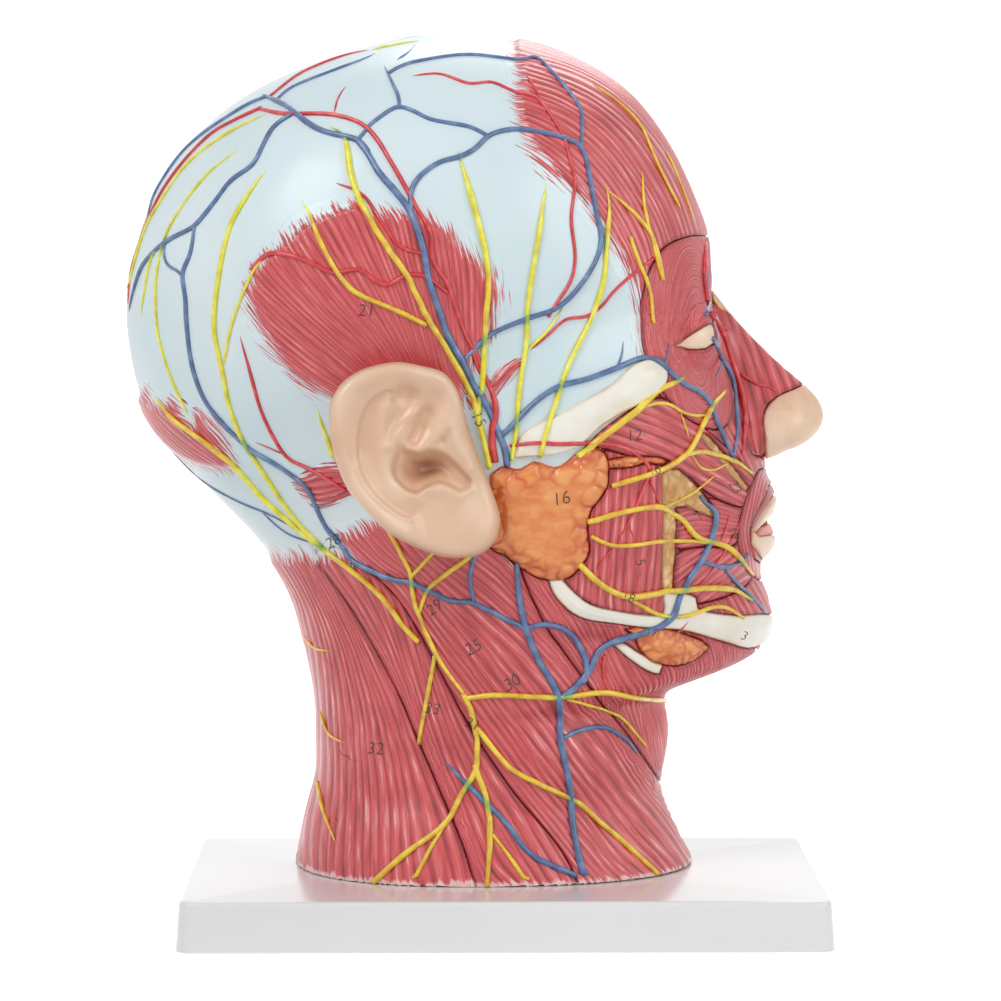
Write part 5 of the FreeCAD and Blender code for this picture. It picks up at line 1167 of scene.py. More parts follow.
# The vessels and nerves: painted cords half sunk in the relief, tapering to fine twigs.
# Each line: its width at the start and at the end in millimetres, and its way in pixels
VEINS = {
    "scalp_veins": [
        (2.3, 2.0, [(507, 466), (505, 450), (500, 437), (494, 423), (486, 404), (473, 385),
                    (464, 364), (448, 336), (440, 312), (429, 282),
                    (425, 258), (419, 234), (409, 210), (395, 191), (379, 173), (368, 154),
                    (357, 140)]),
        (2.0, 1.3, [(368, 152), (357, 140), (325, 132), (306, 122), (290, 108), (274, 100),
                    (264, 96)]),
        (1.7, 1.4, [(411, 212), (411, 191), (421, 175), (440, 162), (459, 157), (475, 149),
                    (488, 136), (507, 130), (528, 130), (563, 138), (582, 149), (590, 181),
                    (595, 207), (601, 240), (593, 266), (574, 293), (555, 309), (526, 319),
                    (488, 336), (464, 360)]),
        (1.5, 1.2, [(488, 136), (470, 127), (448, 123), (429, 119), (413, 111), (397, 107),
                    (379, 118), (368, 127), (361, 137),
                    (356, 141)]),
        (1.3, 0.6, [(399, 108), (399, 98), (392, 82), (384, 65)]),
        (1.4, 1.2, [(388, 74), (400, 67), (421, 61), (467, 55), (520, 60), (536, 57), (558, 79),
                    (579, 106), (582, 122), (581, 147)]),
        (0.9, 0.5, [(397, 60), (408, 53), (416, 44)]),
        (1.5, 0.9, [(267, 97), (246, 106), (210, 129), (186, 149), (167, 174), (154, 197),
                    (147, 221)]),
        (1.2, 0.5, [(277, 100), (293, 87), (333, 71), (362, 60), (376, 53)]),
        (1.7, 0.9, [(293, 114), (274, 127), (263, 146), (253, 165), (231, 181), (215, 202),
                    (195, 226), (180, 234), (166, 242), (154, 252), (143, 266), (135, 288),
                    (129, 312)]),
        (1.1, 1.0, [(166, 242), (164, 253), (168, 266), (180, 272), (186, 286)]),
        (1.3, 1.7, [(195, 226), (191, 253), (183, 274), (186, 299), (187, 323), (192, 363),
                    (204, 398), (223, 423), (237, 437), (253, 451), (274, 463), (293, 476),
                    (309, 490), (317, 509), (328, 530), (340, 543)]),
        (0.9, 0.5, [(172, 452), (188, 468), (212, 487), (242, 503), (269, 514), (298, 530)]),
        (0.8, 0.5, [(261, 511), (287, 533), (322, 546)]),
    ],
    "neck_veins": [
        (1.7, 1.9, [(326, 527), (341, 543), (352, 560), (373, 571), (395, 580), (411, 582),
                    (432, 592), (451, 601), (472, 602), (488, 610), (526, 629)]),
        (1.3, 1.5, [(480, 540), (475, 556), (470, 578), (474, 602)]),
        (1.6, 2.4, [(516, 563), (520, 602), (526, 629), (539, 661), (558, 697), (560, 739),
                    (569, 784), (573, 829), (585, 884)]),
        (1.8, 2.2, [(526, 628), (547, 624), (569, 632), (582, 651), (587, 669), (582, 684)]),
        (1.7, 1.2, [(561, 739), (580, 730), (603, 727), (625, 739), (636, 752)]),
        (1.0, 2.0, [(444, 761), (485, 802), (508, 825), (530, 854), (576, 876)]),
    ],
    "facial_veins": [
        (2.0, 1.6, [(501, 436), (508, 430), (534, 403), (558, 387), (587, 379), (617, 368), (641, 358),
                    (653, 359), (665, 367), (674, 377), (687, 386), (701, 393), (711, 406),
                    (715, 420), (723, 436), (732, 456)]),
        (1.2, 0.6, [(617, 367), (622, 354), (623, 341)]),
        (1.2, 0.6, [(665, 366), (667, 354), (669, 343)]),
        (1.2, 1.6, [(707, 271), (707, 288), (709, 301), (707, 310), (705, 316)]),
        (1.7, 1.2, [(712, 338), (717, 347), (722, 360), (728, 368), (733, 382), (735, 400),
                    (737, 421), (736, 440), (733, 456)]),
        (1.3, 0.5, [(722, 360), (719, 371), (715, 379)]),
        (1.4, 2.3, [(700, 496), (704, 503), (716, 511), (711, 538), (702, 559), (689, 578),
                    (678, 600), (672, 618), (646, 632), (617, 640), (598, 651), (590, 669),
                    (574, 688), (558, 699)]),
        (1.6, 1.2, [(702, 562), (724, 567), (745, 560), (748, 553)]),
        (1.5, 0.7, [(724, 567), (737, 584), (756, 602), (768, 615)]),
    ],
}
ARTERIES = {
    "scalp_arteries": [
        (1.4, 1.6, [(259, 109), (282, 114), (306, 114), (333, 115), (360, 123), (376, 138),
                    (389, 159), (403, 183), (416, 207), (430, 232), (433, 261), (448, 285),
                    (456, 309), (467, 339), (475, 352), (484, 374), (491, 390), (495, 404)]),
        (1.5, 2.6, [(488, 380), (495, 402), (495, 416), (492, 430), (492, 444), (495, 462)]),
        (0.9, 0.5, [(334, 114), (338, 98), (346, 86)]),
        (0.8, 1.3, [(336, 183), (362, 194), (379, 218), (395, 242), (408, 250), (424, 254)]),
        (1.6, 1.3, [(251, 270), (262, 258), (271, 253), (293, 256), (314, 264), (333, 273),
                    (350, 270), (362, 270), (375, 281), (389, 285), (400, 278), (411, 274),
                    (427, 277), (448, 293)]),
        (0.6, 1.3, [(240, 336), (250, 371), (263, 415), (285, 455), (304, 466), (328, 479),
                    (346, 490)]),
        (0.8, 0.5, [(285, 455), (270, 448), (255, 442)]),
        (0.7, 1.2, [(412, 76), (440, 74), (469, 84), (491, 82), (512, 91), (531, 96),
                    (542, 103), (555, 122), (565, 140), (571, 165), (575, 183), (571, 218),
                    (575, 256), (571, 280), (558, 301), (548, 317)]),
        (0.7, 1.0, [(524, 72), (534, 87), (542, 103)]),
        (0.9, 1.4, [(128, 305), (132, 271), (144, 232), (157, 202), (168, 183), (189, 156),
                    (213, 133), (236, 120), (262, 108)]),
        (1.2, 0.6, [(270, 97), (286, 84), (300, 74), (322, 64), (347, 55), (369, 50)]),
        (1.1, 0.7, [(654, 258), (633, 274), (614, 291), (601, 307), (585, 317), (566, 319),
                    (547, 336), (531, 350)]),
        (1.3, 0.9, [(470, 345), (480, 372), (493, 386), (506, 372), (520, 361)]),
    ],
    "facial_arteries": [
        (1.3, 1.5, [(510, 446), (535, 443), (560, 444), (601, 443), (627, 449), (642, 458),
                    (650, 470)]),
        (2.5, 1.0, [(711, 315), (722, 334), (730, 358), (739, 382), (744, 400), (744, 428),
                    (742, 456)]),
        (1.5, 0.7, [(740, 374), (747, 378), (757, 385), (767, 386), (778, 393)]),
        (1.2, 0.7, [(724, 332), (728, 328), (736, 329)]),
        (1.0, 2.2, [(706, 240), (704, 262), (704, 281), (707, 302)]),
        (1.3, 0.6, [(648, 474), (643, 490), (634, 512), (624, 530), (617, 542)]),
        (1.1, 0.6, [(650, 480), (655, 494), (660, 506)]),
        (1.0, 0.5, [(629, 524), (632, 534), (636, 544)]),
        (1.1, 0.6, [(612, 550), (602, 560), (596, 572)]),
        (0.9, 0.7, [(729, 512), (727, 524), (722, 537), (719, 546)]),
        (0.7, 1.0, [(742, 513), (738, 528), (728, 545), (718, 562), (704, 580), (694, 592)]),
        (0.9, 0.6, [(688, 622), (680, 631), (671, 637)]),
        (1.5, 1.1, [(605, 655), (603, 668), (606, 684), (614, 700)]),
        (0.9, 0.5, [(321, 656), (327, 662), (333, 668)]),
        (0.9, 0.5, [(338, 751), (346, 757), (357, 762)]),
        (0.9, 0.5, [(331, 816), (335, 818), (339, 822)]),
    ],
}
NERVES = {
    "scalp_nerves": [
        (0.6, 2.1, [(330, 126), (345, 138), (350, 170), (357, 194), (368, 216), (389, 250),
                    (408, 277), (427, 317), (446, 347), (462, 376), (475, 406), (490, 468)]),
        (0.6, 1.7, [(301, 199), (309, 213), (322, 245), (338, 274), (357, 293), (389, 307),
                    (427, 325)]),
        (0.6, 2.0, [(458, 151), (467, 183), (480, 229), (487, 266), (487, 304), (484, 339),
                    (483, 374), (478, 412)]),
        (0.7, 1.6, [(266, 170), (247, 197), (231, 226), (222, 261), (216, 301), (215, 333),
                    (223, 371), (229, 403), (242, 438), (261, 468), (282, 500), (301, 525),
                    (322, 546)]),
        (1.0, 0.9, [(271, 248), (255, 269), (242, 296), (231, 328), (224, 365)]),
        (0.6, 1.1, [(266, 114), (234, 130), (202, 151), (180, 173), (164, 197), (148, 224),
                    (137, 256), (129, 288)]),
        (0.5, 1.0, [(239, 149), (207, 175), (178, 213), (164, 242), (158, 269), (156, 299),
                    (159, 336), (170, 374), (188, 414)]),
        (0.7, 1.9, [(154, 396), (175, 420), (202, 439), (237, 468), (261, 495), (287, 519),
                    (322, 547), (330, 554), (362, 578), (387, 602), (400, 621), (419, 642)]),
        (0.6, 1.7, [(546, 183), (539, 232), (528, 301), (526, 344), (520, 382), (516, 430),
                    (512, 460)]),
        (0.7, 1.0, [(563, 307), (547, 331), (527, 350)]),
        (0.6, 1.7, [(606, 186), (609, 207), (606, 248), (603, 282), (590, 320), (569, 363),
                    (558, 395), (544, 440), (540, 456)]),
        (0.8, 1.5, [(606, 190), (627, 207), (649, 232), (658, 256), (662, 280)]),
        (0.6, 1.2, [(642, 170), (644, 207), (654, 250), (661, 277)]),
        (1.4, 1.2, [(630, 237), (638, 261), (649, 288), (653, 323)]),
        (0.6, 1.0, [(593, 84), (622, 106), (641, 127), (654, 157), (668, 186), (681, 210)]),
        (0.8, 0.6, [(666, 151), (678, 178), (694, 221)]),
        (0.7, 1.8, [(317, 409), (324, 430), (334, 456)]),
        (0.9, 0.7, [(372, 50), (395, 45), (419, 41)]),
        (0.6, 1.0, [(141, 317), (146, 285), (152, 258), (164, 240)]),
        (1.2, 0.7, [(714, 299), (718, 304), (723, 311)]),
        (1.0, 0.6, [(305, 636), (314, 648), (330, 651)]),
        (1.0, 0.7, [(320, 710), (329, 734), (345, 743)]),
        (1.3, 0.7, [(318, 782), (324, 811), (336, 843)]),
    ],
    "facial_nerves": [
        (2.3, 1.5, [(577, 455), (606, 434), (641, 407), (660, 391), (682, 378)]),
        (1.2, 1.0, [(644, 407), (656, 403), (668, 404), (689, 415), (708, 415)]),
        (1.0, 0.7, [(680, 411), (684, 424), (689, 438)]),
        (1.9, 1.1, [(611, 486), (644, 476), (668, 466), (689, 450), (704, 420), (712, 406),
                    (725, 391)]),
        (1.6, 1.1, [(681, 456), (695, 452), (708, 452), (732, 460), (752, 473)]),
        (0.9, 0.7, [(692, 455), (700, 468), (715, 470), (728, 462)]),
        (2.0, 1.2, [(589, 522), (627, 511), (662, 507), (681, 519), (697, 538), (724, 546),
                    (743, 562), (752, 574)]),
        (0.9, 0.7, [(662, 508), (689, 495), (704, 484), (716, 474)]),
        (1.5, 1.2, [(591, 536), (611, 545), (633, 545), (662, 541), (689, 541), (708, 543)]),
        (2.2, 1.2, [(581, 565), (601, 584), (627, 596), (662, 592), (697, 588), (729, 589),
                    (751, 600)]),
        (1.5, 1.1, [(627, 597), (646, 608), (662, 616), (686, 616), (708, 608), (725, 607),
                    (743, 618)]),
    ],
    "cervical_nerves": [
        (1.6, 1.3, [(381, 516), (390, 532), (403, 557), (411, 573), (412, 586), (417, 610), (421, 618),
                    (432, 645), (446, 669), (464, 693)]),
        (1.9, 2.0, [(464, 693), (474, 721), (477, 766), (462, 793), (444, 825), (408, 852),
                    (374, 882)]),
        (1.3, 1.3, [(446, 540), (432, 554), (420, 567), (411, 577)]),
        (1.8, 1.2, [(484, 544), (468, 558), (445, 575), (428, 590), (420, 612)]),
        (1.5, 1.3, [(435, 655), (430, 683), (424, 715), (418, 744)]),
        (1.3, 1.5, [(444, 826), (426, 857), (412, 886)]),
        (2.1, 1.5, [(475, 764), (487, 802), (490, 834), (487, 886)]),
        (1.2, 1.5, [(492, 834), (512, 861), (530, 888)]),
        (1.9, 1.5, [(476, 727), (508, 766), (544, 786), (576, 802), (607, 829), (657, 874)]),
        (1.9, 1.5, [(465, 698), (488, 695), (507, 695), (558, 697), (601, 692), (633, 696),
                    (668, 700)]),
        (1.1, 0.9, [(566, 699), (590, 705), (617, 715), (633, 731), (648, 749)]),
    ],
}
CORD_STEP = 3.2
EASE_TURNS = 3
THIN_STRETCH = 16 * MM
TWIG_WIDTH = 1.05
TIP_STRETCH = 3.5 * MM


def outer_surface(extra=()):
    """Everything on the outer side so far, for lines and numbers to lie on."""
    together = bmesh.new()
    for piece in bpy.data.objects:
        if piece.name in OUTER_PIECES or piece.name in extra:
            together.from_mesh(piece.data)
    return tree_of(together)


OUTER_PIECES = {"scalp_casting", "nose", "mouth", "lip_edge", "closed_lid", "cheek_fat",
                "cheek_bone", "jaw_bone", "throat_bone", "parotid_lobes",
                "submandibular_lobes", "face_muscles_pads", "auricular_muscles_pads"}
OUTER_PIECES |= {f"{name}_pad" for name in FIBRES}
outer_tree = outer_surface()


def eased(values):
    """Each value averaged with its neighbours, a few times over."""
    values = np.array(values)
    for turn in range(EASE_TURNS):
        values[1:-1] = (values[:-2] + 2 * values[1:-1] + values[2:]) / 4
    return values


def landed(px):
    """Where a sight line meets the outer side or passes nearest, and the facing there."""
    direction = sight_line(px)
    hit = outer_tree.ray_cast(EYE, direction)
    if hit[0] is None:
        hit = outer_tree.find_nearest(EYE + direction * ((CASTING_EDGE - EYE.y) / direction.y))
    return hit


def cords(lines, lift):
    """Tapered cords along lines over the outer surface, and their middles."""
    curve = bpy.data.curves.new("cords", "CURVE")
    curve.dimensions = "3D"
    curve.bevel_depth = 1.0
    curve.bevel_resolution = 3
    curve.use_fill_caps = True
    middles = []
    for start, end, line_px in lines:
        hits = [landed(px) for px in smooth_line(line_px, CORD_STEP)]
        points, facing = eased([h[0] for h in hits]), eased([h[1] for h in hits])
        facing /= np.linalg.norm(facing, axis=1)[:, None]
        run = np.cumsum(np.linalg.norm(np.diff(points, axis=0, prepend=points[:1]), axis=1))
        from_thin = run if start < end else run[-1] - run
        share = ramp_up(from_thin, THIN_STRETCH)
        radius = (min(start, end) + abs(end - start) * share) * MM / 2
        radius *= 1 - 0.07 * np.sin(run / (6 * MM) + start) ** 2
        for width, from_end in ((start, run), (end, run[-1] - run)):
            if width < TWIG_WIDTH:
                radius *= np.sqrt(np.clip(from_end / TIP_STRETCH, 0.02, 1))
        points = points + facing * (radius * lift)[:, None]
        spline = curve.splines.new("POLY")
        spline.points.add(len(points) - 1)
        spline.points.foreach_set("co", np.hstack([points, np.ones((len(points), 1))]).ravel())
        spline.points.foreach_set("radius", radius)
        middles.extend(points)
    helper = bpy.data.objects.new("cords", curve)
    bpy.context.scene.collection.objects.link(helper)
    graph = bpy.context.evaluated_depsgraph_get()
    data = bpy.data.meshes.new_from_object(helper.evaluated_get(graph))
    mesh = bmesh.new()
    mesh.from_mesh(data)
    bpy.data.objects.remove(helper)
    bmesh.ops.remove_doubles(mesh, verts=mesh.verts, dist=0.002 * MM)
    return mesh, middles


def cord_paint(name, dark, middle, pale, ground=None, crossing=None):
    """Gloss paint on a cord, a little worn in spots."""
    made, tree, shader = new_material(name, 0.3, 0.4)
    tone = cloud(tree, 240.0, 4.0)
    seen = colours(tree, tone, (0.25, dark), (0.5, middle), (0.72, pale))
    on_muscle, near_vein, _ = noted(tree, "ground")
    if ground:
        worn = colours(tree, tone, (0.25, ground[0]), (0.6, ground[1]))
        seen = mixed(tree, on_muscle, seen, worn)
        seen = mixed(tree, near_vein, seen, linear(*crossing))
    tree.links.new(seen, shader.inputs["Base Color"])
    roughen(tree, shader, cloud(tree, 700.0), 0.2, 0.2 * MM)
    return made


vein_paint = cord_paint("vein_blue", (50, 76, 118), (76, 106, 152), (112, 140, 178))
artery_paint = cord_paint("artery_red", (158, 20, 30), (204, 36, 46), (228, 86, 88))
nerve_paint = cord_paint("nerve_yellow", (206, 190, 26), (232, 224, 46), (244, 240, 120),
                         ((204, 146, 26), (236, 208, 48)), (118, 164, 62))
vein_middles = []
for table, paint, slot_name, lift in (
    (VEINS, vein_paint, "vein_blue", 0.3), (ARTERIES, artery_paint, "artery_red", 0.35),
    (NERVES, nerve_paint, "nerve_yellow", 0.62),
):
    for name, lines in table.items():
        mesh, middles = cords(lines, lift)
        if table is VEINS:
            vein_middles.extend(middles)
        near = kdtree.KDTree(len(vein_middles))
        for index, middle in enumerate(vein_middles):
            near.insert(middle, index)
        near.balance()
        points = np.array([v.co for v in mesh.verts])
        px = pixels_of(points)
        flesh = np.max([inside(px, OUTLINES[part]) for part in FIBRES], axis=0)
        crossing = np.array([near.find(v.co)[2] for v in mesh.verts])
        note(mesh, "ground", ramp_up(flesh + 0.5 * MM, 2 * MM),
             0.85 * (1 - ramp_up(crossing - 1.4 * MM, 0.9 * MM)))
        finish_piece(mesh, f"{name}_cords", paint, slot_name, name)
OUTER_PIECES |= {f"{name}_cords" for name in (*VEINS, *ARTERIES, *NERVES)}

# The key numbers: written by hand in black ink on each part.
KEY_NUMBERS = [
    ("21", (366, 311), 13, 2), ("15", (478, 419), 12, 62), ("16", (561, 499), 14, -12),
    ("12", (634, 436), 12, -6), ("28", (333, 542), 12, -28), ("29", (434, 608), 12, -38),
    ("25", (473, 648), 13, -28), ("30", (512, 683), 13, -34), ("33", (432, 709), 12, 8),
    ("31", (472, 724), 11, 20), ("32", (375, 749), 13, 4), ("18", (628, 598), 10, 12),
    ("10", (655, 472), 9, -26), ("11", (616, 468), 9, -10), ("23", (735, 487), 10, 62),
    ("7", (699, 516), 10, -60), ("5", (640, 562), 11, 70), ("19", (733, 533), 10, 70),
    ("17", (651, 633), 9, 10), ("3", (744, 636), 10, 22),
]
ink, tree, shader = new_material("ink", 0.45)
tree.links.new(colours(tree, cloud(tree, 800.0), (0.3, (18, 18, 20)), (0.8, (62, 60, 62))),
               shader.inputs["Base Color"])
number_tree = outer_surface()
numbers = bmesh.new()
for text, middle, size_px, turn in KEY_NUMBERS:
    letters = bpy.data.curves.new("number", "FONT")
    letters.body = text
    letters.align_x = letters.align_y = "CENTER"
    letters.shear = 0.12
    letters.offset = -0.016
    helper = bpy.data.objects.new("number", letters)
    bpy.context.scene.collection.objects.link(helper)
    graph = bpy.context.evaluated_depsgraph_get()
    data = bpy.data.meshes.new_from_object(helper.evaluated_get(graph))
    bpy.data.objects.remove(helper)
    mesh = bmesh.new()
    mesh.from_mesh(data)
    bmesh.ops.triangulate(mesh, faces=mesh.faces)
    for halving in range(2):
        bmesh.ops.subdivide_edges(mesh, edges=mesh.edges[:], cuts=1, use_grid_fill=True)
    bmesh.ops.triangulate(mesh, faces=mesh.faces)
    lean = math.radians(turn)
    for vert in mesh.verts:
        x, y = vert.co.x * size_px * 1.35, vert.co.y * size_px * 1.35
        px = (middle[0] + x * math.cos(lean) + y * math.sin(lean),
              middle[1] + x * math.sin(lean) - y * math.cos(lean))
        hit = number_tree.ray_cast(EYE, sight_line(px))[0]
        vert.co = (hit or on_skin(middle)) - sight_line(px) * 0.12 * MM
    mesh.to_mesh(data)
    mesh.free()
    numbers.from_mesh(data)
finish_piece(numbers, "key_numbers", ink, "muscle_vinyl")

# The base: a moulded tray of glossy white plastic, with its screws and washers of plated
# steel, and the wooden plug in the neck that they bite.
CREASE = math.radians(32)


def dress(name, made_name, paint, slot, body="head"):
    """A piece with the node's own shape, its edges kept sharp."""
    mesh = copy_of(name)
    for edge in mesh.edges:
        if len(edge.link_faces) == 2 and edge.calc_face_angle() > CREASE:
            edge.smooth = False
    return finish_piece(mesh, made_name, paint, slot, name, body=body)


gloss_paint, tree, shader = new_material("white_gloss", 0.2, 0.25)
tree.links.new(colours(tree, cloud(tree, 9.0), (0.3, (221, 222, 224)), (0.7, (230, 231, 232))),
               shader.inputs["Base Color"])
roughen(tree, shader, cloud(tree, 60.0, 2.0), 0.04, 0.3 * MM)
dress("base_plate", "base_tray", gloss_paint, "white_gloss")

steel_paint, tree, shader = new_material("plated_steel", 0.32, 0.0, Metallic=1.0)
brushed = cloud(tree, 900.0, 2.0)
tree.links.new(colours(tree, brushed, (0.3, (150, 152, 156)), (0.7, (188, 190, 192))),
               shader.inputs["Base Color"])
roughen(tree, shader, brushed, 0.15, 0.05 * MM)
dress("base_screws", "pan_head_screws", steel_paint, "steel")
dress("base_washers", "flat_washers", steel_paint, "steel")

wood_paint, tree, shader = new_material("wood", 0.6)
place = add(tree, "ShaderNodeTexCoord")
rings = add(tree, "ShaderNodeTexWave", {"Vector": place.outputs["Object"], "Scale": 60.0,
                                        "Distortion": 6.0, "Detail": 3.0}, wave_type="RINGS")
tree.links.new(colours(tree, rings.outputs["Fac"], (0.1, (150, 108, 66)), (0.5, (184, 142, 94)),
                       (0.9, (204, 166, 118))), shader.inputs["Base Color"])
roughen(tree, shader, rings.outputs["Fac"], 0.2, 0.2 * MM)
dress("neck_block", "neck_plug", wood_paint, "wood")

# The median casting: the wall that closes the half head, with the brain's bowl. Its rim
# is sprayed like the scalp, its bowl is lined in ivory and its airways are pink.
HEAD_TILT = math.radians(15)
SECTION_LEVEL = 150 * MM
HEAD_PX = 588
# Outlines on the flat side, in shares of the head's length: forward and up, along the
# head's tilted axes
AIRWAYS = [
    [(0.150, -0.085), (0.150, 0.030), (0.190, 0.108), (0.280, 0.122), (0.345, 0.105),
     (0.395, 0.020), (0.400, -0.045), (0.385, -0.102), (0.300, -0.106), (0.200, -0.104)],
    [(0.132, -0.030), (0.050, -0.060), (0.010, -0.130), (0.005, -0.220), (-0.025, -0.340),
     (0.010, -0.400), (0.050, -0.360), (0.050, -0.250), (0.040, -0.165), (0.095, -0.112),
     (0.132, -0.090)],
    [(0.010, -0.425), (0.042, -0.425), (0.045, -0.540), (0.000, -0.655), (-0.050, -0.650),
     (-0.018, -0.540)],
]
FACE_START = 515
BRAIN_MIDDLE = np.array((-0.067, 0.300)) * HEAD_PX
BRAIN_HALVES = np.array((83.5, 71.9)) * MM / PX


def section_px(points):
    """Places on the flat side along the head's tilted axes, in the photograph's pixels."""
    x, z = points[:, 0] / PX, (points[:, 2] - SECTION_LEVEL) / PX
    across, up = math.cos(HEAD_TILT), math.sin(HEAD_TILT)
    return np.stack([x * across + z * up, z * across - x * up], 1)


def in_section(px, shares):
    """How far places on the flat side lie inside an outline."""
    return inside(px, [(f * HEAD_PX, u * HEAD_PX) for f, u in shares])


section_casting = copy_of("median_section")
points = read(section_casting)[0]
px = section_px(points)
in_bowl = np.hypot(*((px - BRAIN_MIDDLE) / (BRAIN_HALVES + 9)).T) < 1
in_airway = np.max([in_section(px, ring) for ring in AIRWAYS], axis=0) > -6 * MM
face_px = pixels_of(points)
by_muscle = np.max([inside(face_px, OUTLINES[part]) for part in FIBRES], axis=0) > -4 * MM
by_muscle &= face_px[:, 0] > FACE_START
note(section_casting, "form", in_bowl.astype(float), in_airway.astype(float),
     by_muscle.astype(float))
for edge in section_casting.edges:
    if len(edge.link_faces) == 2 and edge.calc_face_angle() > CREASE:
        edge.smooth = False
section_paint, tree, shader = new_material("section_vinyl", 0.42, 0.15)
bowl, airway, by_muscle = noted(tree, "form")
ivory = colours(tree, cloud(tree, 30.0), (0.3, (222, 206, 178)), (0.7, (240, 230, 208)))
mucosa = colours(tree, cloud(tree, 120.0), (0.3, (176, 84, 84)), (0.7, (206, 120, 114)))
muscle_red = colours(tree, cloud(tree, 90.0), (0.3, (176, 66, 70)), (0.7, (206, 104, 100)))
seen = mixed(tree, by_muscle, scalp_colour(tree), muscle_red)
seen = mixed(tree, bowl, seen, ivory)
tree.links.new(mixed(tree, airway, seen, mucosa), shader.inputs["Base Color"])
roughen(tree, shader, cloud(tree, 500.0), 0.1, 0.2 * MM)
finish_piece(section_casting, "median_casting", section_paint, "section_vinyl",
             "median_section")

# The cut surface: a moulded relief over the median casting, painted as skin, fat, muscle,
# bone and mucosa.
SECTION_ZONES = {
    "muscle": [
        [(-0.150, -0.075), (-0.235, -0.118), (-0.345, -0.085), (-0.425, 0.010),
         (-0.470, 0.100), (-0.600, 0.050), (-0.700, -0.300), (-0.700, -0.750),
         (-0.330, -0.750), (-0.315, -0.575), (-0.265, -0.410), (-0.197, -0.225),
         (-0.158, -0.120)],
        [(0.312, -0.300), (0.300, -0.390), (0.200, -0.440), (0.085, -0.420),
         (0.075, -0.385), (0.140, -0.380), (0.215, -0.368), (0.275, -0.328),
         (0.320, -0.262), (0.345, -0.275)],
        [(0.385, -0.150), (0.420, -0.150), (0.425, -0.195), (0.405, -0.205),
         (0.380, -0.200)],
        [(0.375, -0.215), (0.405, -0.220), (0.400, -0.270), (0.370, -0.280),
         (0.360, -0.250)],
    ],
    "bone": [
        [(-0.100, 0.135), (0.000, 0.145), (0.200, 0.150), (0.360, 0.170), (0.410, 0.165),
         (0.448, 0.110), (0.455, 0.050), (0.430, 0.045), (0.395, 0.030), (0.345, 0.112),
         (0.280, 0.128), (0.185, 0.114), (0.145, 0.030), (0.130, -0.020), (0.050, -0.050),
         (0.005, -0.120), (-0.030, -0.100), (-0.012, -0.005), (-0.005, 0.055),
         (-0.040, 0.115)],
        [(-0.150, -0.035), (-0.234, -0.078), (-0.320, -0.045), (-0.380, 0.030),
         (-0.405, 0.120), (-0.440, 0.150), (-0.470, 0.100), (-0.425, 0.010),
         (-0.345, -0.085), (-0.235, -0.118), (-0.150, -0.075)],
    ],
    "sinus": [
        [(0.030, 0.030), (0.045, 0.092), (0.090, 0.105), (0.128, 0.095), (0.130, 0.045),
         (0.085, 0.012)],
        [(0.395, 0.190), (0.405, 0.240), (0.425, 0.225), (0.428, 0.180), (0.412, 0.172)],
    ],
}
SECTION_SPACING = 0.8 * MM
SLAB_BACK = 1.5 * MM
SLAB_FRONT = 0.25 * MM


def rim_points(mesh):
    """Points along a flat mesh's outer outline, close together."""
    loops, left = [], {e for e in mesh.edges if e.is_boundary}
    while left:
        ahead, loop = [left.pop()], []
        while ahead:
            edge = ahead.pop()
            loop.append(edge)
            for vert in edge.verts:
                for other in vert.link_edges:
                    if other in left:
                        left.remove(other)
                        ahead.append(other)
        loops.append(loop)
    outer = max(loops, key=lambda loop: max(v.co.z for e in loop for v in e.verts)
                - min(v.co.z for e in loop for v in e.verts))
    made = []
    for edge in outer:
        start, end = edge.verts[0].co, edge.verts[1].co
        count = max(1, int((end - start).length / (0.7 * MM)))
        made += [start.lerp(end, part / count) for part in range(count)]
    return made


def nearest(known):
    """A search tree of points."""
    tree_made = kdtree.KDTree(len(known))
    for index, point in enumerate(known):
        tree_made.insert(point, index)
    tree_made.balance()
    return tree_made


def thin_back(mesh):
    """Fewer faces on the back of a flat piece, where it is glued in."""
    back = [v for v in mesh.verts if all(f.normal.y < -0.95 for f in v.link_faces)]
    bmesh.ops.unsubdivide(mesh, verts=back, iterations=THINNING)


relief = copy_of("median_section")
relief.normal_update()
bmesh.ops.delete(relief, context="FACES", geom=[
    f for f in relief.faces if f.normal.y < 0.99 or f.calc_center_median().y < MEDIAN - 0.05 * MM])
rim_tree = nearest([spot for spot in rim_points(relief) if spot.z > NECK_FOOT + 0.5 * MM])
made = bmesh.ops.extrude_face_region(relief, geom=relief.faces[:])
bmesh.ops.translate(relief, verts=[v for v in made["geom"] if isinstance(v, bmesh.types.BMVert)],
                    vec=(0, -SLAB_BACK, 0))
bmesh.ops.recalc_face_normals(relief, faces=relief.faces)
relief = even_mesh(relief, SECTION_SPACING)
for turn in range(2):
    bmesh.ops.smooth_vert(relief, verts=relief.verts[:], factor=0.5, use_axis_x=True,
                          use_axis_y=True, use_axis_z=True)
points, outward = read(relief)
px = section_px(points)
front = ramp_up(outward[:, 1] - 0.3, 0.5)
rim = np.array([rim_tree.find((x, MEDIAN, z))[2] for x, _, z in points])
zone = {name: np.max([in_section(px, ring) for ring in rings], axis=0)
        for name, rings in SECTION_ZONES.items()}
SKIN_WIDTH = 1.5 * MM
FAT_WIDTH = 4.6 * MM
inner = ramp_up(rim - FAT_WIDTH, 0.8 * MM)
muscle_share = ramp_up(zone["muscle"] + 0.3 * MM, 0.6 * MM) * inner
bone_share = ramp_up(zone["bone"] + 0.3 * MM, 0.6 * MM) * inner
hollow = ramp_up(zone["sinus"] + 0.2 * MM, 1.2 * MM) * inner
across = (px[:, 0] * 0.954 - px[:, 1] * 0.3) * PX
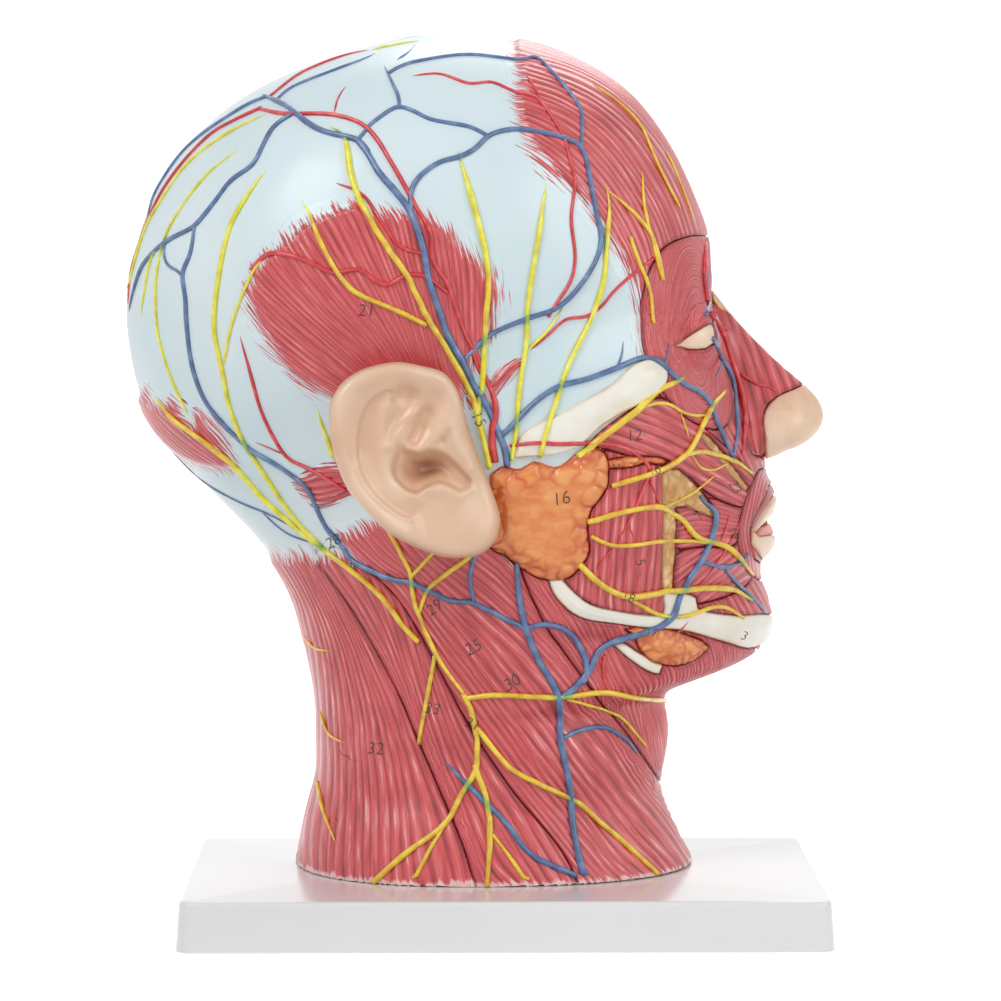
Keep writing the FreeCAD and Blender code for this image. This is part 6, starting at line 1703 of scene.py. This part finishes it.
along = (px[:, 0] * 0.3 + px[:, 1] * 0.954) * PX
mouth_floor = px[:, 0] > 0
across[mouth_floor] = (px[mouth_floor, 1] * 0.9 - px[mouth_floor, 0] * 0.4) * PX
ridge = strands(across, along, 2.2 * MM)
lobule = np.array([min(1.0, (near[1] - near[0]) * 2) for near in (
    noise.voronoi(Vector(point) / (3.0 * MM))[0] for point in points)])
fat = ramp_up(rim - SKIN_WIDTH, 0.6 * MM) * (1 - inner)
border = np.min([np.abs(zone["muscle"]), np.abs(zone["bone"]), np.abs(rim - FAT_WIDTH),
                 np.abs(rim - SKIN_WIDTH)], axis=0)
rise = 0.3 * MM * ramp_up(SKIN_WIDTH - rim, 0.8 * MM) + 0.3 * MM * fat * lobule
rise += muscle_share * (0.45 * MM + 0.4 * MM * (ridge - 0.5))
rise += bone_share * 0.35 * MM - hollow * 1.0 * MM
rise -= 0.25 * MM * np.exp(-(border / (0.5 * MM)) ** 2)
write(relief, points + np.array((0, 1, 0)) * (front * (SLAB_FRONT + rise))[:, None])
note(relief, "form", ridge, rim, lobule)
note(relief, "flat", muscle_share, bone_share, hollow)
thin_back(relief)
cut_paint, tree, shader = new_material("cut_surface", 0.4, 0.2)
ridge_out, rim_out, lobule_out = noted(tree, "form")
muscle_out, bone_out, hollow_out = noted(tree, "flat")
flesh = colours(tree, cloud(tree, 90.0), (0.3, (206, 138, 118)), (0.7, (228, 172, 150)))
meat = colours(tree, maths(tree, "ADD", maths(tree, "MULTIPLY", ridge_out, 0.4),
                           maths(tree, "MULTIPLY", cloud(tree, 150.0, 4.0), 0.6)),
               (0.2, (150, 44, 50)), (0.5, (198, 78, 80)), (0.85, (226, 140, 136)))
marrow = colours(tree, cloud(tree, 300.0, 4.0), (0.35, (206, 170, 130)), (0.6, (238, 228, 206)))
pink = colours(tree, cloud(tree, 120.0), (0.3, (186, 96, 94)), (0.7, (214, 134, 126)))
yellow = colours(tree, maths(tree, "ADD", maths(tree, "MULTIPLY", lobule_out, 0.5),
                             maths(tree, "MULTIPLY", cloud(tree, 200.0), 0.4)),
                 (0.15, (206, 158, 62)), (0.45, (234, 198, 104)), (0.8, (244, 222, 150)))
seen = mixed(tree, muscle_out, flesh, meat)
seen = mixed(tree, bone_out, seen, marrow)
seen = mixed(tree, hollow_out, seen, pink)
in_fat = add(tree, "ShaderNodeMapRange", {0: rim_out, 1: FAT_WIDTH + 0.5 * MM, 2: FAT_WIDTH,
                                          3: 0.0, 4: 1.0})
seen = mixed(tree, in_fat.outputs[0], seen, yellow)
in_skin = add(tree, "ShaderNodeMapRange", {0: rim_out, 1: SKIN_WIDTH + 0.3 * MM, 2: SKIN_WIDTH,
                                           3: 0.0, 4: 1.0})
seen = mixed(tree, in_skin.outputs[0], seen, linear(236, 206, 184))
tree.links.new(seen, shader.inputs["Base Color"])
roughen(tree, shader, cloud(tree, 400.0), 0.2, 0.2 * MM)
finish_piece(relief, "section_relief", cut_paint, "section_vinyl")

# The nose's core: the solid nose behind its painted skin, cut on the median plane as well.
CORE_INSET = 0.6 * MM
CORE_LIP = 0.4 * MM
core = even_mesh(copies_of("nose_tip", "nasal_muscle"), SECTION_SPACING)
for turn in range(2):
    bmesh.ops.smooth_vert(core, verts=core.verts[:], factor=0.5, use_axis_x=True,
                          use_axis_y=True, use_axis_z=True)
points, outward = read(core)
facing = ramp_up(outward[:, 1] - 0.3, 0.5)
seam = ramp_up(points[:, 1] - CASTING_EDGE, 1 * MM)
shift = (1 - facing) * (seam * (CORE_INSET + CORE_LIP) - CORE_INSET)
sides = nearest([(x, MEDIAN, z) for (x, _, z), way in zip(points, outward) if abs(way[1]) < 0.5])
rim = np.array([sides.find((x, MEDIAN, z))[2] for x, _, z in points])
cartilage_part = ramp_up(rim - 2.2 * MM, 0.5 * MM)
rise = facing * (points[:, 1] > CASTING_EDGE) * 0.3 * MM * (1 - cartilage_part)
write(core, points + outward * shift[:, None] + np.array((0, 1, 0)) * rise[:, None])
note(core, "form", cartilage_part, rim)
core_paint, tree, shader = new_material("nose_core", 0.4, 0.2)
inner_part, rim_out, _ = noted(tree, "form")
skin = colours(tree, cloud(tree, 90.0), (0.3, (222, 176, 150)), (0.7, (238, 206, 182)))
gristle = colours(tree, cloud(tree, 140.0), (0.3, (176, 200, 210)), (0.7, (212, 226, 230)))
tree.links.new(mixed(tree, inner_part, skin, gristle), shader.inputs["Base Color"])
roughen(tree, shader, cloud(tree, 400.0), 0.15, 0.2 * MM)
finish_piece(core, "nose_core", core_paint, "section_vinyl")

# The pieces let into the cut surface: each is cast apart, crowned a little and painted as
# what it shows.
INLAY_SPACING = 0.55 * MM


def spongy(px, points, edge):
    """The pores of cut bone, inside its smooth outer layer."""
    cell = np.array([noise.voronoi(Vector(point) / (1.7 * MM))[0][0] for point in points])
    return -0.35 * MM * ramp_up(0.42 - cell, 0.3) * ramp_up(edge - 1.2 * MM, 0.8 * MM)


def leaves(px, points, edge):
    """The cerebellum's leaves round its branching white core."""
    return 0.3 * MM * np.cos(edge / (1.5 * MM) * math.tau) * (1 - ramp_up(edge - 6 * MM, 3 * MM))


CORE_LINES = [
    [(-0.150, 0.030), (-0.200, 0.035), (-0.250, 0.035), (-0.300, 0.030), (-0.370, 0.045)],
    [(-0.200, 0.035), (-0.215, 0.070), (-0.225, 0.105)],
    [(-0.245, 0.035), (-0.275, 0.070), (-0.290, 0.105)],
    [(-0.290, 0.032), (-0.335, 0.070), (-0.355, 0.100)],
    [(-0.300, 0.030), (-0.340, 0.010), (-0.362, 0.010)],
    [(-0.255, 0.034), (-0.290, 0.000), (-0.310, -0.025)],
    [(-0.210, 0.035), (-0.235, 0.000), (-0.250, -0.050)],
    [(-0.180, 0.033), (-0.190, 0.000), (-0.200, -0.040)],
]


def fanned(px, points, edge):
    """The tongue's fibres, fanned out from the chin."""
    away = px - np.array((0.300, -0.400)) * HEAD_PX
    turn = np.arctan2(away[:, 1], -away[:, 0])
    return 0.22 * MM * np.cos(turn * 62 + 0.6 * np.sin(turn * 17)) * ramp_up(edge - MM, 2 * MM)


def ringed(px, points, edge):
    """The fine layers of a disc."""
    return 0.12 * MM * np.cos(edge / (0.9 * MM) * math.tau)


def inlay(name, paint, slot, swell, detail=None, body="head", core=()):
    """One node's pieces as an even mesh, crowned and with their detail."""
    mesh = even_mesh(copy_of(name), INLAY_SPACING)
    for turn in range(2):
        bmesh.ops.smooth_vert(mesh, verts=mesh.verts[:], factor=0.5, use_axis_x=True,
                              use_axis_y=True, use_axis_z=True)
    points, outward = read(mesh)
    px = section_px(points)
    front = ramp_up(outward[:, 1] - 0.3, 0.5)
    sides = nearest([(x, 0, z) for (x, _, z), facing in zip(points, outward) if abs(facing[1]) < 0.5])
    edge = np.array([sides.find((x, 0, z))[2] for x, _, z in points])
    height = swell * ramp_up(edge, 3 * MM) * np.ones(len(points))
    detailed = detail(px, points, edge) if detail else np.zeros(len(points))
    white = np.zeros(len(points))
    for line in core:
        near = beside(px, [(f * HEAD_PX, u * HEAD_PX) for f, u in line]) * PX
        white = np.maximum(white, 1 - ramp_up(near - 0.6 * MM, 0.9 * MM))
    height += detailed * (1 - white) + 0.25 * MM * white
    write(mesh, points + np.array((0, 1, 0)) * (front * height)[:, None])
    note(mesh, "form", detailed / (0.3 * MM), edge, white)
    thin_back(mesh)
    return finish_piece(mesh, f"{name}_inlay", paint, slot, name, body=body)


def tissue_paint(name, rough, scale, dark, middle, pale, rim=None, core=None, hollow_shade=0.3):
    """Paint with painted shade that darkens a piece's hollows, and a band of another colour at its rim
    if given.
    """
    made, tree, shader = new_material(name, rough, 0.25)
    detail, edge, white = noted(tree, "form")
    tone = maths(tree, "ADD", cloud(tree, scale, 4.0), maths(tree, "MULTIPLY", detail, hollow_shade))
    seen = colours(tree, tone, (0.25, dark), (0.5, middle), (0.75, pale))
    if rim:
        near = add(tree, "ShaderNodeMapRange", {0: edge, 1: 1.0 * MM, 2: 1.5 * MM, 3: 1.0, 4: 0.0})
        seen = mixed(tree, near.outputs[0], seen, linear(*rim))
    if core:
        seen = mixed(tree, white, seen, linear(*core))
    tree.links.new(seen, shader.inputs["Base Color"])
    roughen(tree, shader, cloud(tree, 500.0), 0.15, 0.2 * MM)
    return made


cut_bone = tissue_paint("cut_bone", 0.45, 260.0, (196, 128, 96), (226, 188, 148),
                        (240, 224, 196), (242, 236, 220), hollow_shade=0.25)
nerve_tissue = tissue_paint("nerve_tissue", 0.38, 80.0, (222, 200, 158), (240, 226, 190),
                            (248, 240, 216))
cerebellum_paint = tissue_paint("cerebellum_vinyl", 0.38, 120.0, (150, 84, 76), (206, 146, 128),
                                (228, 182, 162), core=(246, 236, 212))
cartilage = tissue_paint("cartilage_vinyl", 0.32, 120.0, (150, 178, 190), (192, 212, 218),
                         (222, 234, 236))
mucosa_paint = tissue_paint("mucosa_vinyl", 0.3, 140.0, (186, 84, 84), (216, 118, 112),
                            (234, 158, 148))
tongue_paint = tissue_paint("tongue_vinyl", 0.34, 160.0, (156, 50, 54), (202, 88, 88),
                            (228, 146, 140), (222, 130, 124))
tooth_paint = tissue_paint("tooth_vinyl", 0.2, 90.0, (226, 216, 190), (244, 240, 226),
                           (250, 248, 240))
inlay("skull_section", cut_bone, "bone_vinyl", 0.15 * MM, spongy)
inlay("cerebellum", cerebellum_paint, "brain_vinyl", 0.5 * MM, leaves, core=CORE_LINES)
inlay("brainstem_and_cord", nerve_tissue, "nerve_tissue_vinyl", 0.9 * MM)
inlay("cervical_vertebrae", cut_bone, "bone_vinyl", 0.3 * MM, spongy)
inlay("intervertebral_discs", cartilage, "cartilage_vinyl", 0.2 * MM, ringed)
inlay("spinous_processes", cut_bone, "bone_vinyl", 0.4 * MM, spongy)
inlay("tongue", tongue_paint, "mucosa_vinyl", 0.9 * MM, fanned)
inlay("hard_palate", cut_bone, "bone_vinyl", 0.3 * MM, spongy)
inlay("soft_palate", mucosa_paint, "mucosa_vinyl", 0.6 * MM)
inlay("jaw_section", cut_bone, "bone_vinyl", 0.3 * MM, spongy)
inlay("larynx", cartilage, "cartilage_vinyl", 0.6 * MM)
inlay("tracheal_rings", cartilage, "cartilage_vinyl", 0.4 * MM)
inlay("incisor_teeth", tooth_paint, "tooth_vinyl", 0.4 * MM)
inlay("nasal_conchae", mucosa_paint, "mucosa_vinyl", 1.0 * MM)

# The half brain that lifts out: its folds wind over the dome and the flat side, and two
# steel pins find their sockets in the bowl.
BRAIN_SPACING = 0.85 * MM
FOLD_DEPTH = 3.0 * MM
FOLD_SIZE = 9.0 * MM
CALLOSUM_LINE = [(0.085, 0.240), (0.098, 0.278), (0.045, 0.305), (-0.020, 0.322),
                 (-0.120, 0.312), (-0.190, 0.250)]
SULCI = [
    [(0.150, 0.190), (0.185, 0.260), (0.150, 0.340), (0.060, 0.385), (-0.060, 0.400),
     (-0.170, 0.375), (-0.230, 0.440)],
    [(-0.250, 0.300), (-0.287, 0.325), (-0.296, 0.362), (-0.337, 0.385), (-0.348, 0.430),
     (-0.385, 0.465)],
    [(-0.215, 0.215), (-0.252, 0.247), (-0.300, 0.248), (-0.345, 0.274), (-0.390, 0.258),
     (-0.450, 0.290)],
    [(-0.060, 0.400), (-0.050, 0.470), (-0.075, 0.540)],
]
brain = even_mesh(copy_of("cerebral_hemisphere"), BRAIN_SPACING)
for turn in range(2):
    bmesh.ops.smooth_vert(brain, verts=brain.verts[:], factor=0.5, use_axis_x=True,
                          use_axis_y=True, use_axis_z=True)
points, outward = read(brain)
px = section_px(points)
on_flat = ramp_up(outward[:, 1] - 0.6, 0.3)
from_callosum = beside(px, [(f * HEAD_PX, u * HEAD_PX) for f, u in CALLOSUM_LINE]) * PX
turn_round = np.arctan2(px[:, 1] - BRAIN_MIDDLE[1] + 60, px[:, 0] - BRAIN_MIDDLE[0])
flat_groove = np.zeros(len(points))
for line in SULCI:
    near = beside(px, [(f * HEAD_PX, u * HEAD_PX) for f, u in line]) * PX
    flat_groove = np.maximum(flat_groove, np.exp(-(near / (1.3 * MM)) ** 2))
flat_fold, dome_fold = np.zeros(len(points)), np.zeros(len(points))
for index, (point, far, angle) in enumerate(zip(points, from_callosum, turn_round)):
    spot = Vector((far / (10 * MM), angle * 6.0, 3.7))
    spot += noise.noise_vector(spot * 0.8) * 0.4
    flat_fold[index] = noise.noise(spot)
    spot = Vector(point) / FOLD_SIZE
    spot += noise.noise_vector(spot * 0.7) * 0.5
    dome_fold[index] = noise.noise(spot)
def folds(level):
    """Rounded folds with narrow furrows between them, from a field's zero lines."""
    away = np.abs(level)
    return 0.5 * np.exp(-(away / 0.06) ** 2) + 0.5 * (1 - ramp_up(away, 0.28))


outer_part = ramp_up(from_callosum - 17 * MM, 4 * MM)
flat_groove = np.maximum(flat_groove, outer_part * folds(flat_fold))
flat_groove = np.maximum(flat_groove, np.exp(-((from_callosum - 5 * MM) / (1.3 * MM)) ** 2)
                         * ramp_up(px[:, 1] - 0.25 * HEAD_PX, 10))
flat_groove *= ramp_up((px[:, 1] - 0.152 * HEAD_PX) * PX - 2 * MM, 6 * MM)
dome_groove = folds(dome_fold) * ramp_up(MEDIAN - points[:, 1] - 1.5 * MM, 6 * MM)
groove = dome_groove + (flat_groove * 0.62 - dome_groove) * on_flat
write(brain, points - outward * (FOLD_DEPTH * groove)[:, None])
for turn in range(2):
    bmesh.ops.smooth_vert(brain, verts=brain.verts[:], factor=0.5, use_axis_x=True,
                          use_axis_y=True, use_axis_z=True)
note(brain, "form", groove, on_flat)
brain_paint, tree, shader = new_material("brain_vinyl", 0.36, 0.3)
groove_out, _, _ = noted(tree, "form")
# Painted shade: the furrows are darker by their depth.
tone = maths(tree, "SUBTRACT", maths(tree, "MULTIPLY", cloud(tree, 60.0, 4.0), 0.7),
             maths(tree, "MULTIPLY", groove_out, 0.7))
tree.links.new(colours(tree, tone, (0.0, (150, 78, 72)), (0.16, (196, 128, 114)),
                       (0.3, (224, 172, 152)), (0.5, (238, 204, 184))),
               shader.inputs["Base Color"])
roughen(tree, shader, cloud(tree, 500.0), 0.15, 0.2 * MM)
finish_piece(brain, "half_brain", brain_paint, "brain_vinyl", "cerebral_hemisphere",
             body="brain_half")
inlay("corpus_callosum", nerve_tissue, "nerve_tissue_vinyl", 0.6 * MM, body="brain_half")
inlay("thalamus", nerve_tissue, "nerve_tissue_vinyl", 0.9 * MM, body="brain_half")
dress("locating_pins", "dowel_pins", steel_paint, "steel", body="brain_half")
